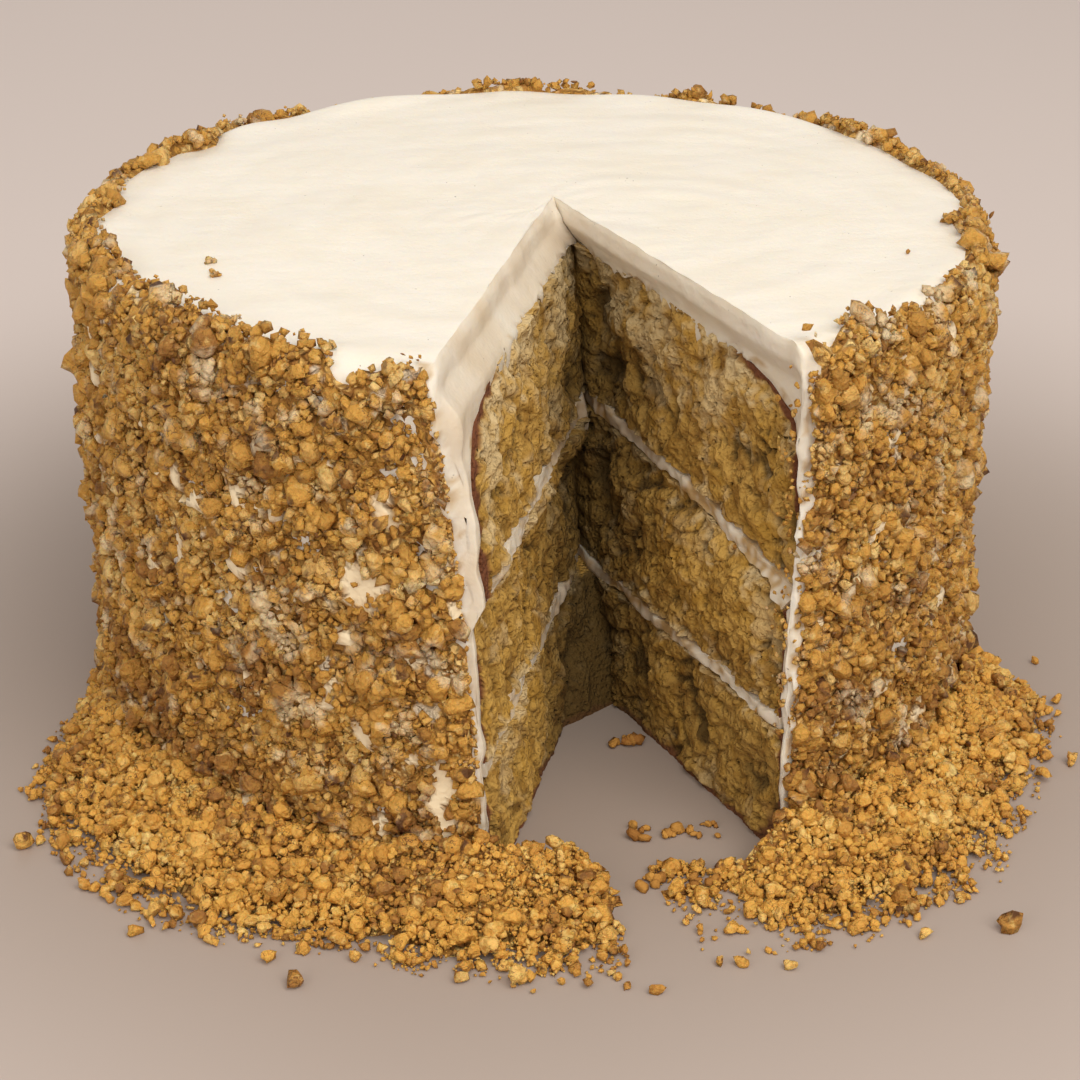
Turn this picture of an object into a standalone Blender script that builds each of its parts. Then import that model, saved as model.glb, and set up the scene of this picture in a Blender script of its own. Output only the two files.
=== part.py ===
"""Three-layer banana cake with a slice taken out.

Three cake layers stand on each other with a cream filling between them. One coat of cream
frosting covers the top and the side, and chopped nuts are pressed into its side. Nuts that
fell off lie banked against the foot of the cake.

Units are metres, +Z is up. The origin is the middle of the underside, on the surface that
the cake stands on. The missing slice opens towards -Y. Angles are counted about +Z from
-Y, positive towards +X.
"""

from math import atan2, cos, hypot, pi, radians, sin, sqrt, tan

import bmesh
import bpy
import numpy as np
from mathutils import Vector, noise

# ---------------------------------------------------------------- driving dimensions

CAKE_HEIGHT = 0.121
LOWER_RADIUS = 0.1014
MIDDLE_RADIUS = 0.0998
UPPER_RADIUS = 0.0986
FROSTING_RADIUS = 0.1035
COAT_RADIUS = 0.1068
RIM_ROUNDING = 0.0045
GAP = 0.0004

# Heights at the rim, and how far each layer's top rises from there to the middle.
LOWER_TOP = 0.0295
LOWER_RISE = 0.0015
LOWER_FILLING = 0.0034
MIDDLE_TOP = 0.0625
MIDDLE_RISE = 0.0085
UPPER_FILLING = 0.0042
DOME_TOP = 0.1113
DOME_SHOULDER = 0.0850
DOME_SQUARENESS = 4.6
EDGE_ROUNDING = 0.0012

# The layers have sagged: by how much at each height, four times round the cake.
TOP_LAYER_SHIFT = 0.0030
SLIDE_HEIGHTS = [MIDDLE_TOP, MIDDLE_TOP + UPPER_FILLING, DOME_TOP + GAP, 0.116]
SAG_HEIGHTS = [0.0, 0.032, 0.066, 0.100]
SAG_DEPTHS = [0.0, -0.0017, 0.0035, 0.0]
SAG_TURN = radians(142)
CRUMPLE = 0.0007
CRUMPLE_PITCH = 0.060

# The slice: the knife went in past the middle, and leaned over on its left-hand cut.
SLICE_HALF_ANGLE = radians(19.8)
SLICE_TIP = Vector((0.0060, 0.0100))
LEFT_CUT_LEAN = 0.0125
LEFT_CUT_BEND = 0.6
TORN_TIP_DEPTH = 0.0265
TORN_TIP_SLANT = 0.0110
TORN_TIP_LEAN = 0.6

# The coat of nuts, and the fallen nuts at the foot.
COAT_LUMPS = 0.0009
COAT_LUMP_PITCH = 0.2
COAT_THICKNESS = 0.0032
COAT_LAP = radians(42)
COAT_LAP_WAVE = radians(28)
COAT_LAP_PITCH = 0.045
DRIFT_HEIGHT = 0.0140
DRIFT_FULL_REACH = 0.0240
DRIFT_LOWEST = 0.28
DRIFT_WAVE = 0.0015
DRIFT_TOE = 0.0012

# How far the fallen nuts reach out from the coat, in degrees from the front and millimetres.
# They lie before the cake, where the slice was cut and served, and hardly behind it.
DRIFT_REACHES = [
    (-180, 7.0), (-150, 5.5), (-120, 6.0), (-97, 4.0), (-90, 5.0), (-84, 11.0), (-77, 18.0),
    (-70, 26.0), (-60, 31.5), (-50, 33.5), (-40, 33.5), (-32, 30.5), (-25, 24.5), (-16, 27.5),
    (0, 29.0), (14, 28.5), (22, 32.5), (30, 34.0), (40, 33.0), (53, 26.5), (62, 23.5),
    (71, 24.5), (77, 19.0), (81, 11.0), (86, 6.0), (95, 4.5), (120, 6.0), (150, 5.5), (180, 7.0),
]

# Before the slice the drift is lower, reaches a little way in, and has a break in it.
MOUTH_TURNS = [radians(turn) for turn in (-12.5, -6.5, 0.0, 13.0, 19.5, 25.5)]
MOUTH_REACH = [0.0, 0.002, 0.013, 0.009, 0.001, 0.0]
MOUTH_CREST = [1.0, 0.75, 0.55, 0.35, 0.40, 1.0]
DRIFT_BREAK = (radians(3.2), radians(8.2))

SEGMENTS = 56
TURNS_MERGE = 0.00005
CROWN_RINGS = [0.0, 0.36, 0.69, 0.94]
DOME_RINGS = [0.0, 0.35, 0.65, 0.82, 0.92, 0.98]
COAT_LEVELS = [0.0, 0.14, 0.28, 0.42, 0.56, 0.7, 0.84, 0.96]


# ---------------------------------------------------------------- shared helpers


def paint(name, colour, roughness):
    """A plain Principled material."""
    material = bpy.data.materials.new(name)
    material.use_nodes = True
    shader = material.node_tree.nodes["Principled BSDF"]
    shader.inputs["Base Color"].default_value = (*colour, 1.0)
    shader.inputs["Roughness"].default_value = roughness
    shader.inputs["Metallic"].default_value = 0.0
    return material


def collection(name):
    made = bpy.data.collections.new(name)
    bpy.context.scene.collection.children.link(made)
    return made


def wave(x, y, z, pitch):
    """Smooth lumps between about -1 and 1, pitch metres apart."""
    return 2.0 * noise.noise(Vector((x, y, z)) / pitch)


def turned(name, profile, group, closed=False):
    """Turns a profile of (radius, height) points about Z. It runs down its outer side."""
    mesh = bpy.data.meshes.new(name + "_profile")
    points = [(radius, 0.0, height) for radius, height in profile]
    edges = [(i, i + 1) for i in range(len(points) - 1)]
    if closed:
        edges.append((len(points) - 1, 0))
    mesh.from_pydata(points, edges, [])
    lathe = bpy.data.objects.new(name + "_profile", mesh)
    group.objects.link(lathe)
    screw = lathe.modifiers.new("turn", "SCREW")
    screw.steps = SEGMENTS
    screw.render_steps = SEGMENTS
    screw.use_merge_vertices = True
    screw.merge_threshold = TURNS_MERGE
    graph = bpy.context.evaluated_depsgraph_get()
    solid = bpy.data.meshes.new_from_object(lathe.evaluated_get(graph))
    bpy.data.objects.remove(lathe)
    solid.name = name
    piece = bpy.data.objects.new(name, solid)
    group.objects.link(piece)
    return piece


def reshape(piece, move):
    """Moves every point of a turned piece: move gets its angle, radius and height."""
    for vertex in piece.data.vertices:
        x, y, z = vertex.co
        vertex.co = move(atan2(x, -y), hypot(x, y), z)


def at(angle, radius, height):
    return Vector((radius * sin(angle), -radius * cos(angle), height))


def finish(piece, material, cutter):
    """Takes the slice out of a piece, and gives it its material and shading."""
    piece.data.materials.clear()
    piece.data.materials.append(material)
    piece.data.shade_smooth()
    piece.data.set_sharp_from_angle(angle=radians(40))
    cut = piece.modifiers.new("slice", "BOOLEAN")
    cut.operation = "DIFFERENCE"
    cut.solver = "EXACT"
    cut.object = cutter


# ---------------------------------------------------------------- how the cake settled


def settle(angle, radius, height):
    """Where a point of the ideal cake lies once the cake has settled.

    Every piece goes through this, so neighbours keep their gap: inside the frosting the
    top layer slides sideways and the layers sag, and the frosting's outside gets lumps.
    """
    point = at(angle, radius, height)
    wall = FROSTING_RADIUS - LOWER_RADIUS - GAP
    inside = min(1.0, max(0.0, (FROSTING_RADIUS - radius) / wall))
    slid = np.interp(height, SLIDE_HEIGHTS, [0.0, 1.0, 1.0, 0.0])
    sag = np.interp(height, SAG_HEIGHTS, SAG_DEPTHS) * sin(4.0 * angle + SAG_TURN)
    sag *= (radius / FROSTING_RADIUS) ** 2
    crumple = CRUMPLE * np.interp(height, [0.0, LOWER_TOP, DOME_SHOULDER, DOME_TOP], [0, 1, 1, 0])
    sag += crumple * wave(point.x, point.y, 0.0, CRUMPLE_PITCH)
    lump = COAT_LUMPS * wave(sin(angle), cos(angle), 0.0, COAT_LUMP_PITCH)
    point.x += TOP_LAYER_SHIFT * slid * inside
    point.z += sag * inside
    return point + at(angle, lump * (1.0 - inside), 0.0)


def crown(radius, rim, rise):
    """Height of a layer's gently risen top."""
    return rim + rise * (1.0 - (radius / UPPER_RADIUS) ** 2)


def dome(share):
    """Height of the top layer's top at a share of its radius, with a round shoulder."""
    fall = (1.0 - share**DOME_SQUARENESS) ** (1.0 / DOME_SQUARENESS)
    return DOME_SHOULDER + (DOME_TOP - DOME_SHOULDER) * fall


def crown_points(rim, rise, lift=0.0):
    """The rings of a layer's top, from the middle outwards, lift above it."""
    radii = [share * UPPER_RADIUS for share in CROWN_RINGS]
    return [(radius, crown(radius, rim, rise) + lift) for radius in radii]


# ---------------------------------------------------------------- the slice's cutters


def lean(height):
    """How far the left-hand cut has crossed over to +X at a height."""
    depth = min(1.0, max(0.0, 1.0 - height / CAKE_HEIGHT))
    return LEFT_CUT_LEAN * depth**LEFT_CUT_BEND


def cut_section(height, torn):
    """The slice's outline at a height: its tip, then the right and the left cut far out."""
    reach = 0.25
    spread = reach * tan(SLICE_HALF_ANGLE)
    shift = lean(height)
    back = shift / (2.0 * tan(SLICE_HALF_ANGLE))
    tip = SLICE_TIP + Vector((shift / 2.0, -back))
    right = SLICE_TIP + Vector((spread, -reach))
    left = SLICE_TIP + Vector((shift - spread, -reach))
    if not torn:
        return [tip, right, left]
    # The slice's tip tore off here and stayed behind, leaning back as it rises.
    stub = 1.0 - TORN_TIP_LEAN * min(1.0, max(0.0, height / LOWER_TOP))
    near = stub * (TORN_TIP_DEPTH - TORN_TIP_SLANT) / (right - tip).length
    far = stub * TORN_TIP_DEPTH / (left - tip).length
    return [tip.lerp(left, far), tip.lerp(right, near), right, left]


def slice_cutter(name, group, torn=False):
    """A prism through the whole cake that follows the two cuts."""
    levels = [-0.01] + [CAKE_HEIGHT * share for share in (0.0, 0.2, 0.4, 0.6, 0.8, 0.9, 1.0)]
    levels.append(CAKE_HEIGHT + 0.02)
    outline = bmesh.new()
    rings = []
    for level in levels:
        corners = [(*point, level) for point in cut_section(level, torn)]
        rings.append([outline.verts.new(corner) for corner in corners])
    outline.faces.new(rings[0])
    outline.faces.new(rings[-1])
    for low, high in zip(rings, rings[1:]):
        for i in range(len(low)):
            outline.faces.new((low[i - 1], low[i], high[i], high[i - 1]))
    bmesh.ops.triangulate(outline, faces=outline.faces)
    bmesh.ops.recalc_face_normals(outline, faces=outline.faces)
    return cutter_object(name, outline, group)


def sector_cutter(name, group, angles, near, far, height):
    """A wedge between two angles that cuts a break through the fallen nuts."""
    outline = bmesh.new()
    corners = [at(angles[0], near, -height), at(angles[1], near, -height)]
    corners += [at(angles[1], far, -height), at(angles[0], far, -height)]
    face = outline.faces.new([outline.verts.new(corner) for corner in corners])
    grown = bmesh.ops.extrude_face_region(outline, geom=[face])["geom"]
    lifted = [item for item in grown if isinstance(item, bmesh.types.BMVert)]
    bmesh.ops.translate(outline, verts=lifted, vec=(0.0, 0.0, 3.0 * height))
    bmesh.ops.recalc_face_normals(outline, faces=outline.faces)
    return cutter_object(name, outline, group)


def cutter_object(name, outline, group):
    mesh = bpy.data.meshes.new(name)
    outline.to_mesh(mesh)
    outline.free()
    cutter = bpy.data.objects.new(name, mesh)
    cutter.hide_render = True
    cutter.display_type = "WIRE"
    group.objects.link(cutter)
    return cutter


# ---------------------------------------------------------------- the cake's own pieces


def layer_side(radius, top, bottom):
    """A layer's side from its top edge down, both edges softly rounded."""
    return [
        (radius, top - EDGE_ROUNDING),
        (radius, bottom + EDGE_ROUNDING),
        (radius - EDGE_ROUNDING, bottom),
    ]


def lower_layer(group, material, cutter):
    profile = crown_points(LOWER_TOP, LOWER_RISE)
    profile.append((LOWER_RADIUS - EDGE_ROUNDING, LOWER_TOP))
    profile += layer_side(LOWER_RADIUS, LOWER_TOP, 0.0)
    profile += [(share * LOWER_RADIUS, 0.0) for share in (0.5, 0.0)]
    piece = turned("cake_layer_lower", profile, group)
    reshape(piece, settle)
    finish(piece, material, cutter)


def middle_layer(group, material, cutter):
    underside = LOWER_TOP + LOWER_FILLING + GAP
    profile = crown_points(MIDDLE_TOP, MIDDLE_RISE)
    profile.append((MIDDLE_RADIUS - EDGE_ROUNDING, MIDDLE_TOP))
    profile += layer_side(MIDDLE_RADIUS, MIDDLE_TOP, underside)
    profile += crown_points(underside, LOWER_RISE)[::-1]
    piece = turned("cake_layer_middle", profile, group)
    reshape(piece, settle)
    finish(piece, material, cutter)


def upper_layer(group, material, cutter):
    underside = MIDDLE_TOP + UPPER_FILLING + GAP
    profile = [(share * UPPER_RADIUS, dome(share)) for share in DOME_RINGS]
    profile += layer_side(UPPER_RADIUS, DOME_SHOULDER + EDGE_ROUNDING, underside)
    profile += crown_points(underside, MIDDLE_RISE)[::-1]
    piece = turned("cake_layer_upper", profile, group)
    reshape(piece, settle)
    finish(piece, material, cutter)


def filling(name, group, material, cutter, radii, rim, rise, thickness):
    """A spread of cream on a layer whose rim and rise it follows."""
    profile = crown_points(rim, rise, lift=thickness)
    profile += [(radii[1] - GAP, rim + thickness), (radii[0] - GAP, rim + GAP)]
    profile += crown_points(rim, rise, lift=GAP)[::-1]
    piece = turned(name, profile, group)
    reshape(piece, settle)
    finish(piece, material, cutter)


def rim_arc(offset, turns):
    """Points on the cake's rounded top edge, offset from it, at turns above the level."""
    centre = (FROSTING_RADIUS - RIM_ROUNDING, CAKE_HEIGHT - RIM_ROUNDING)
    reach = RIM_ROUNDING + offset
    return [(centre[0] + reach * cos(turn), centre[1] + reach * sin(turn)) for turn in turns]


def frosting(group, material, cutter):
    """The cream over the top and the side, in one piece. It is thick round the shoulder."""
    lower, middle, upper = (r + GAP for r in (LOWER_RADIUS, MIDDLE_RADIUS, UPPER_RADIUS))
    profile = [(share * FROSTING_RADIUS, CAKE_HEIGHT) for share in (0.0, 0.35, 0.7, 0.88)]
    profile += rim_arc(0.0, [radians(turn) for turn in (90, 60, 30, 0)])
    profile += [(FROSTING_RADIUS, 0.0), (lower, 0.0), (lower, LOWER_TOP)]
    profile += [(middle, LOWER_TOP + LOWER_FILLING), (middle, MIDDLE_TOP)]
    profile += [(upper, MIDDLE_TOP + UPPER_FILLING), (upper, DOME_SHOULDER)]
    profile += [(share * upper, dome(share) + GAP) for share in reversed(DOME_RINGS)]
    piece = turned("frosting", profile, group)
    reshape(piece, settle)
    finish(piece, material, cutter)


def coat_radius(angle, height):
    """The nut coat's lumpy outer radius. Its foot, where nuts lie against it, is upright."""
    lump = wave(sin(angle), cos(angle), 0.0, COAT_LUMP_PITCH)
    x, y = COAT_RADIUS * sin(angle), COAT_RADIUS * cos(angle)
    lump += wave(x, y, max(height, COAT_LEVELS[1] * CAKE_HEIGHT) + 0.5, 0.014)
    return COAT_RADIUS + COAT_LUMPS * lump


def coat_lap(angle):
    """How far the nuts lap round the cake's rounded top edge."""
    x, y = COAT_RADIUS * sin(angle), COAT_RADIUS * cos(angle)
    return COAT_LAP + COAT_LAP_WAVE * max(-1.0, min(1.0, wave(x, y, 0.3, COAT_LAP_PITCH)))


def nut_coat(group, material, cutter):
    """The coat of chopped nuts on the side, lapping unevenly over the top edge."""
    inside = FROSTING_RADIUS + GAP
    levels = [level * CAKE_HEIGHT for level in reversed(COAT_LEVELS)]
    profile = [(inside, levels[0]), (0.104, 0.119), (0.103, 0.120), (0.105, 0.123)]
    profile += [(COAT_RADIUS, level) for level in levels]
    profile.append((inside, 0.0))
    piece = turned("nut_coat", profile, group, closed=True)

    def move(angle, radius, height):
        if height > levels[0] + TURNS_MERGE:
            lap = coat_lap(angle)
            turn = lap * (0.5 if height < 0.1195 else 1.0)
            offset = COAT_THICKNESS * 0.9 if height > 0.122 else 2.0 * GAP
            radius, height = rim_arc(offset, [turn])[0]
        elif radius > inside + GAP:
            return at(angle, coat_radius(angle, height), height)
        return settle(angle, radius, height)

    reshape(piece, move)
    finish(piece, material, cutter)


def drift_section(angle):
    """The drift at an angle: its inner foot, its crest's radius and height, its toe."""
    x, y = COAT_RADIUS * sin(angle), COAT_RADIUS * cos(angle)
    reach = np.interp(np.degrees(angle), *zip(*DRIFT_REACHES)) / 1000.0
    fullness = min(1.0, max(DRIFT_LOWEST, reach / DRIFT_FULL_REACH))
    crest = DRIFT_HEIGHT * fullness * (1.0 + 0.22 * wave(x, y, 0.7, 0.030))
    crest *= np.interp(angle, MOUTH_TURNS, MOUTH_CREST)
    wall = coat_radius(angle, 0.0) + GAP
    foot = wall - np.interp(angle, MOUTH_TURNS, MOUTH_REACH)
    reach += DRIFT_WAVE * wave(x, y, 0.9, 0.038)
    return foot, wall, crest, wall + reach


def nut_drift(group, material, cutter):
    """Fallen nuts banked against the foot, with a tongue into the slice's mouth."""
    profile = [(2.0, 1.0), (3.0, 0.55), (4.0, 0.22), (5.0, 0.05), (5.0, 0.0), (1.0, 0.0), (1.0, 0.5)]
    piece = turned("nut_drift", profile, group, closed=True)

    def move(angle, place, level):
        foot, crest_radius, crest, toe = drift_section(angle)
        if place < 1.5:
            return at(angle, foot, level * crest)
        share = (place - 2.0) / 3.0
        radius = crest_radius + (toe - crest_radius) * share
        rough = 0.0 if level == 0.0 else wave(radius * sin(angle), radius * cos(angle), 0.2, 0.016)
        height = crest * level + DRIFT_TOE * (level > 0.0) * (1.0 + 0.5 * rough)
        return at(angle, radius, height)

    reshape(piece, move)
    finish(piece, material, cutter)


# ---------------------------------------------------------------- the whole cake


def main():
    for item in list(bpy.data.objects):
        bpy.data.objects.remove(item)

    cake = collection("banana_cake")
    cutters = collection("cutters")
    crumb = paint("banana_crumb", (0.46, 0.30, 0.09), 0.9)
    cream = paint("cream", (0.90, 0.84, 0.70), 0.5)
    nuts = paint("chopped_nuts", (0.56, 0.33, 0.12), 0.75)
    fallen = paint("fallen_nuts", (0.68, 0.38, 0.11), 0.75)

    knife = slice_cutter("knife_cut", cutters)
    torn = slice_cutter("torn_cut", cutters, torn=True)
    spill = sector_cutter("drift_break", cutters, DRIFT_BREAK, 0.07, 0.18, DRIFT_HEIGHT * 2)

    lower_layer(cake, crumb, torn)
    middle_layer(cake, crumb, knife)
    upper_layer(cake, crumb, knife)
    radii = (LOWER_RADIUS, MIDDLE_RADIUS)
    filling("filling_lower", cake, cream, knife, radii, LOWER_TOP, LOWER_RISE, LOWER_FILLING)
    radii = (MIDDLE_RADIUS, UPPER_RADIUS)
    filling("filling_upper", cake, cream, knife, radii, MIDDLE_TOP, MIDDLE_RISE, UPPER_FILLING)
    frosting(cake, cream, knife)
    nut_coat(cake, nuts, knife)
    nut_drift(cake, fallen, spill)


main()
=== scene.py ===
import math

import bmesh
import bpy
import numpy as np
from mathutils import Matrix, Vector, noise


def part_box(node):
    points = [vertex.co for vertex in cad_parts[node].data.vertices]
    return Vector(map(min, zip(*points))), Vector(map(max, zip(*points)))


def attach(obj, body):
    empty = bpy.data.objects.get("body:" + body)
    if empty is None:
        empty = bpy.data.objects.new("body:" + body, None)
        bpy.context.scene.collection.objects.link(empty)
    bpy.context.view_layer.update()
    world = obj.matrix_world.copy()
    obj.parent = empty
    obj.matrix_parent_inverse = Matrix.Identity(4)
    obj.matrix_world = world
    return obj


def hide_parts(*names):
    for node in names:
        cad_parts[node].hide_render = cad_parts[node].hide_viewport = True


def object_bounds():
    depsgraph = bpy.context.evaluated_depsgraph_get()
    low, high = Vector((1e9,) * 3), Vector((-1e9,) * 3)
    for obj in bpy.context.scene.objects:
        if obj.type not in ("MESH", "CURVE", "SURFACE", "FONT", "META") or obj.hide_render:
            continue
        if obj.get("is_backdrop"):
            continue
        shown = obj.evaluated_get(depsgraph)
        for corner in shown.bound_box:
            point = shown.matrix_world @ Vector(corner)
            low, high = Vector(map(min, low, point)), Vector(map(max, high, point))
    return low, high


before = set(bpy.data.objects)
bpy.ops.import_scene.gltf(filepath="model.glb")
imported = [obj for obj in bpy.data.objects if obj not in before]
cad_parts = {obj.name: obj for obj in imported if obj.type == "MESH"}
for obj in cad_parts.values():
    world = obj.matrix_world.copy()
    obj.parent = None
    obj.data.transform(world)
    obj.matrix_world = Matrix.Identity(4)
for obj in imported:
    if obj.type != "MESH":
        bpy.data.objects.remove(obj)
cad_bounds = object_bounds()

# ------------------------------------------------------------------------ cake layers
# Three layers of moist banana cake, baked in one size of tin and stacked with cream between
# them. A knife took a slice out, so their open crumb shows on two faces. Each is a slab
# turned about Z, whose two ends are bent onto the cuts and torn into crumb.

CAKE_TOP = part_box("frosting")[1].z
CREAM_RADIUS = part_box("frosting")[1].y
LOWER_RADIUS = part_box("cake_layer_lower")[1].y
MIDDLE_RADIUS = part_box("cake_layer_middle")[1].y
UPPER_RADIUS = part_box("cake_layer_upper")[1].y
DOME_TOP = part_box("cake_layer_upper")[1].z
LOWER_TOP = 0.0295
LOWER_RISE = 0.0015
LOWER_CREAM = 0.0034
MIDDLE_TOP = 0.0625
MIDDLE_RISE = 0.0085
UPPER_CREAM = 0.0042
DOME_SHOULDER = 0.0850
DOME_SQUARENESS = 4.6

# The slice: its half angle, its tip, and how far the left-hand cut leans over below.
SLICE_HALF_ANGLE = math.radians(19.8)
SLICE_TIP = (0.0060, 0.0100)
CUT_LEAN = 0.0125
CUT_BEND = 0.6
CUT_SIN = math.sin(SLICE_HALF_ANGLE)
CUT_COS = math.cos(SLICE_HALF_ANGLE)
TORN_DEPTH = 0.0265
TORN_SLANT = 0.0110
TORN_LEAN = 0.6
TORN_HUB = 0.04
TORN_SPREAD = 0.25
TIP_CRACK = 0.0035
TIP_CLEAR = 0.003

# How the cake has settled: the top layer slid to the right and the layers sagged.
TOP_SLIDE = 0.0030
SLIDE_HEIGHTS = [MIDDLE_TOP, MIDDLE_TOP + UPPER_CREAM, DOME_TOP, DOME_TOP + 0.005]
SAG_HEIGHTS = [0.0, 0.032, 0.066, 0.100]
SAG_DEPTHS = [0.0, -0.0017, 0.0035, 0.0]
SAG_TURN = math.radians(142)

# How much thinner than the frosting's own wall the cream is beside the two cuts.
SLIM_HEIGHTS = [0.0, 0.030, 0.050, 0.075, 0.088, 0.100]
SLIM_LEFT = [0.0008, 0.0008, 0.0014, 0.0026, 0.0018, 0.0]
SLIM_RIGHT = [0.0010, 0.0010, 0.0012, 0.0008, 0.0, 0.0]

SWEEP = math.radians(320)
SHARP_ANGLE = math.radians(58)
LAYER_CELLS = (216, 64)
LAYER_STEPS = 30
LAYER_CROWDING = 1.3

# The crumb's lumps, and its holes with their pitch, depth and seed. Its swells, like all
# swells below, have a height, a pitch and a seed.
CRUMB_LUMP = 0.0060
LUMP_HEIGHT = 0.0007
CRACK_DEPTH = 0.0009
CRUMB_HOLES = [(0.0034, 0.0011, 4.7), (0.0019, 0.0006, 9.1)]
CRUMB_WANDER = [(0.0012, 0.0045, 0.0)]
CRUMB_SWELLS = [(0.0011, 0.012, 2.1), (0.0005, 0.0030, 8.3)]
SMEAR_RAISED = 0.0004


def waves(points, pitch, seed=0.0):
    """Smooth noise between about -1 and 1 at each point, with swells pitch metres apart."""
    return 2.0 * np.array([noise.noise(point) for point in (points / pitch + seed).tolist()])


def swells(points, kinds):
    """Waves on top of each other, each with its height, pitch and seed."""
    return sum(height * waves(points, pitch, seed) for height, pitch, seed in kinds)


def lumps(points, pitch, seed=0.0):
    """Lumps pitch metres wide: distance from a crack and from a middle, and their numbers."""
    gaps, middles, numbers = [], [], []
    for point in (points / pitch + seed).tolist():
        distances, centres = noise.voronoi(point)
        gaps.append(distances[1] - distances[0])
        middles.append(distances[0])
        numbers.append(noise.cell(centres[0] * 7.0))
    return np.array(gaps), np.array(middles), np.array(numbers)


def smooth(values, low, high):
    """Eases from 0 at low to 1 at high. High may be the lower of the two."""
    share = np.clip((values - low) / (high - low), 0.0, 1.0)
    return share * share * (3.0 - 2.0 * share)


def knife_lean(height):
    """How far the left-hand cut has crossed over to the right at a height."""
    return CUT_LEAN * np.clip(1.0 - height / CAKE_TOP, 0.0, 1.0) ** CUT_BEND


def cut_turn(side, height):
    """The angle at which the right (1) or left (-1) cut meets the round of the cream."""
    x = SLICE_TIP[0] + knife_lean(height) * (side < 0)
    y = SLICE_TIP[1]
    along = x * side * CUT_SIN - y * CUT_COS
    reach = -along + np.sqrt(along**2 - x**2 - y**2 + CREAM_RADIUS**2)
    return np.arctan2(x + reach * side * CUT_SIN, -(y - reach * CUT_COS))


def cake_turn(share, height):
    """The angle about Z, from the front, at a share of the way from right cut to left cut."""
    start = cut_turn(1, height)
    return start + (cut_turn(-1, height) + 2.0 * math.pi - start) * share


def place(share, radius, height, torn=False):
    """Points of the cut cake: a share of the way round, a radius out and a height up."""
    lean = knife_lean(height)
    turn = cake_turn(share, height)
    rim = CREAM_RADIUS * np.stack([np.sin(turn), -np.cos(turn)], axis=1)
    apex = np.stack([lean, -lean * CUT_COS / CUT_SIN], axis=1) / 2.0 + SLICE_TIP
    out = (radius / CREAM_RADIUS)[:, None]
    flat = apex + (rim - apex) * out
    if torn:
        stub = 1.0 - TORN_LEAN * np.clip(height / LOWER_TOP, 0.0, 1.0)
        near = apex + np.outer(stub * (TORN_DEPTH - TORN_SLANT), (CUT_SIN, -CUT_COS))
        far = apex + np.outer(stub * TORN_DEPTH, (-CUT_SIN, -CUT_COS))
        middle = (near + far) / 2.0
        inner = np.clip(out / TORN_HUB, 0.0, 1.0)
        outer = np.maximum(TORN_SPREAD * out, (out - TORN_HUB) / (1.0 - TORN_HUB))
        flat = middle + (apex - middle) * inner + (rim - apex) * outer
        for corner, face in ((near, share < 1e-5), (far, share > 1.0 - 1e-5)):
            width = np.linalg.norm(corner - middle, axis=1)[:, None]
            length = np.linalg.norm(rim - corner, axis=1)[:, None]
            walked = out * (width + length)
            before = middle + (corner - middle) * walked / width
            after = corner + (rim - corner) * (walked - width) / length
            flat = np.where(face[:, None], np.where(walked < width, before, after), flat)
    return np.column_stack([flat, height])


def settle(points):
    """Slides and sags points inside the cream as the cake has settled."""
    radius = np.hypot(points[:, 0], points[:, 1])
    turn = np.arctan2(points[:, 0], -points[:, 1])
    inside = np.clip((CREAM_RADIUS - radius) / (CREAM_RADIUS - LOWER_RADIUS), 0.0, 1.0)
    slid = np.interp(points[:, 2], SLIDE_HEIGHTS, [0.0, 1.0, 1.0, 0.0])
    sag = np.interp(points[:, 2], SAG_HEIGHTS, SAG_DEPTHS) * np.sin(4.0 * turn + SAG_TURN)
    left = np.interp(points[:, 2], SLIM_HEIGHTS, SLIM_LEFT) * smooth(turn, 0.1, 0.0)
    right = np.interp(points[:, 2], SLIM_HEIGHTS, SLIM_RIGHT) * smooth(turn, 0.0, 0.1)
    in_front = smooth(np.abs(turn), math.radians(75), math.radians(45))
    grown = (left + right) * in_front * inside * smooth(radius, 0.050, 0.095)
    moved = points.copy()
    moved[:, :2] *= (1.0 + grown / np.maximum(radius, 1e-6))[:, None]
    moved[:, 0] += TOP_SLIDE * slid * inside
    moved[:, 2] += sag * inside * (radius / CREAM_RADIUS) ** 2
    return moved


def out_of_cut(share):
    """Unit vectors out of the cut face that each point lies on, and nothing elsewhere."""
    out = np.zeros((len(share), 3))
    out[share < 1e-5] = (-CUT_COS, -CUT_SIN, 0.0)
    out[share > 1.0 - 1e-5] = (CUT_COS, -CUT_SIN, 0.0)
    return out


def crown(radius, rim, rise):
    """Height of a layer's gently risen top."""
    return rim + rise * (1.0 - (radius / UPPER_RADIUS) ** 2)


def dome(radius):
    """Height of the top layer's domed top, with its round shoulder."""
    share = np.clip(radius / UPPER_RADIUS, 0.0, 1.0)
    fall = (1.0 - share**DOME_SQUARENESS) ** (1.0 / DOME_SQUARENESS)
    return DOME_SHOULDER + (DOME_TOP - DOME_SHOULDER) * fall


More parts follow.
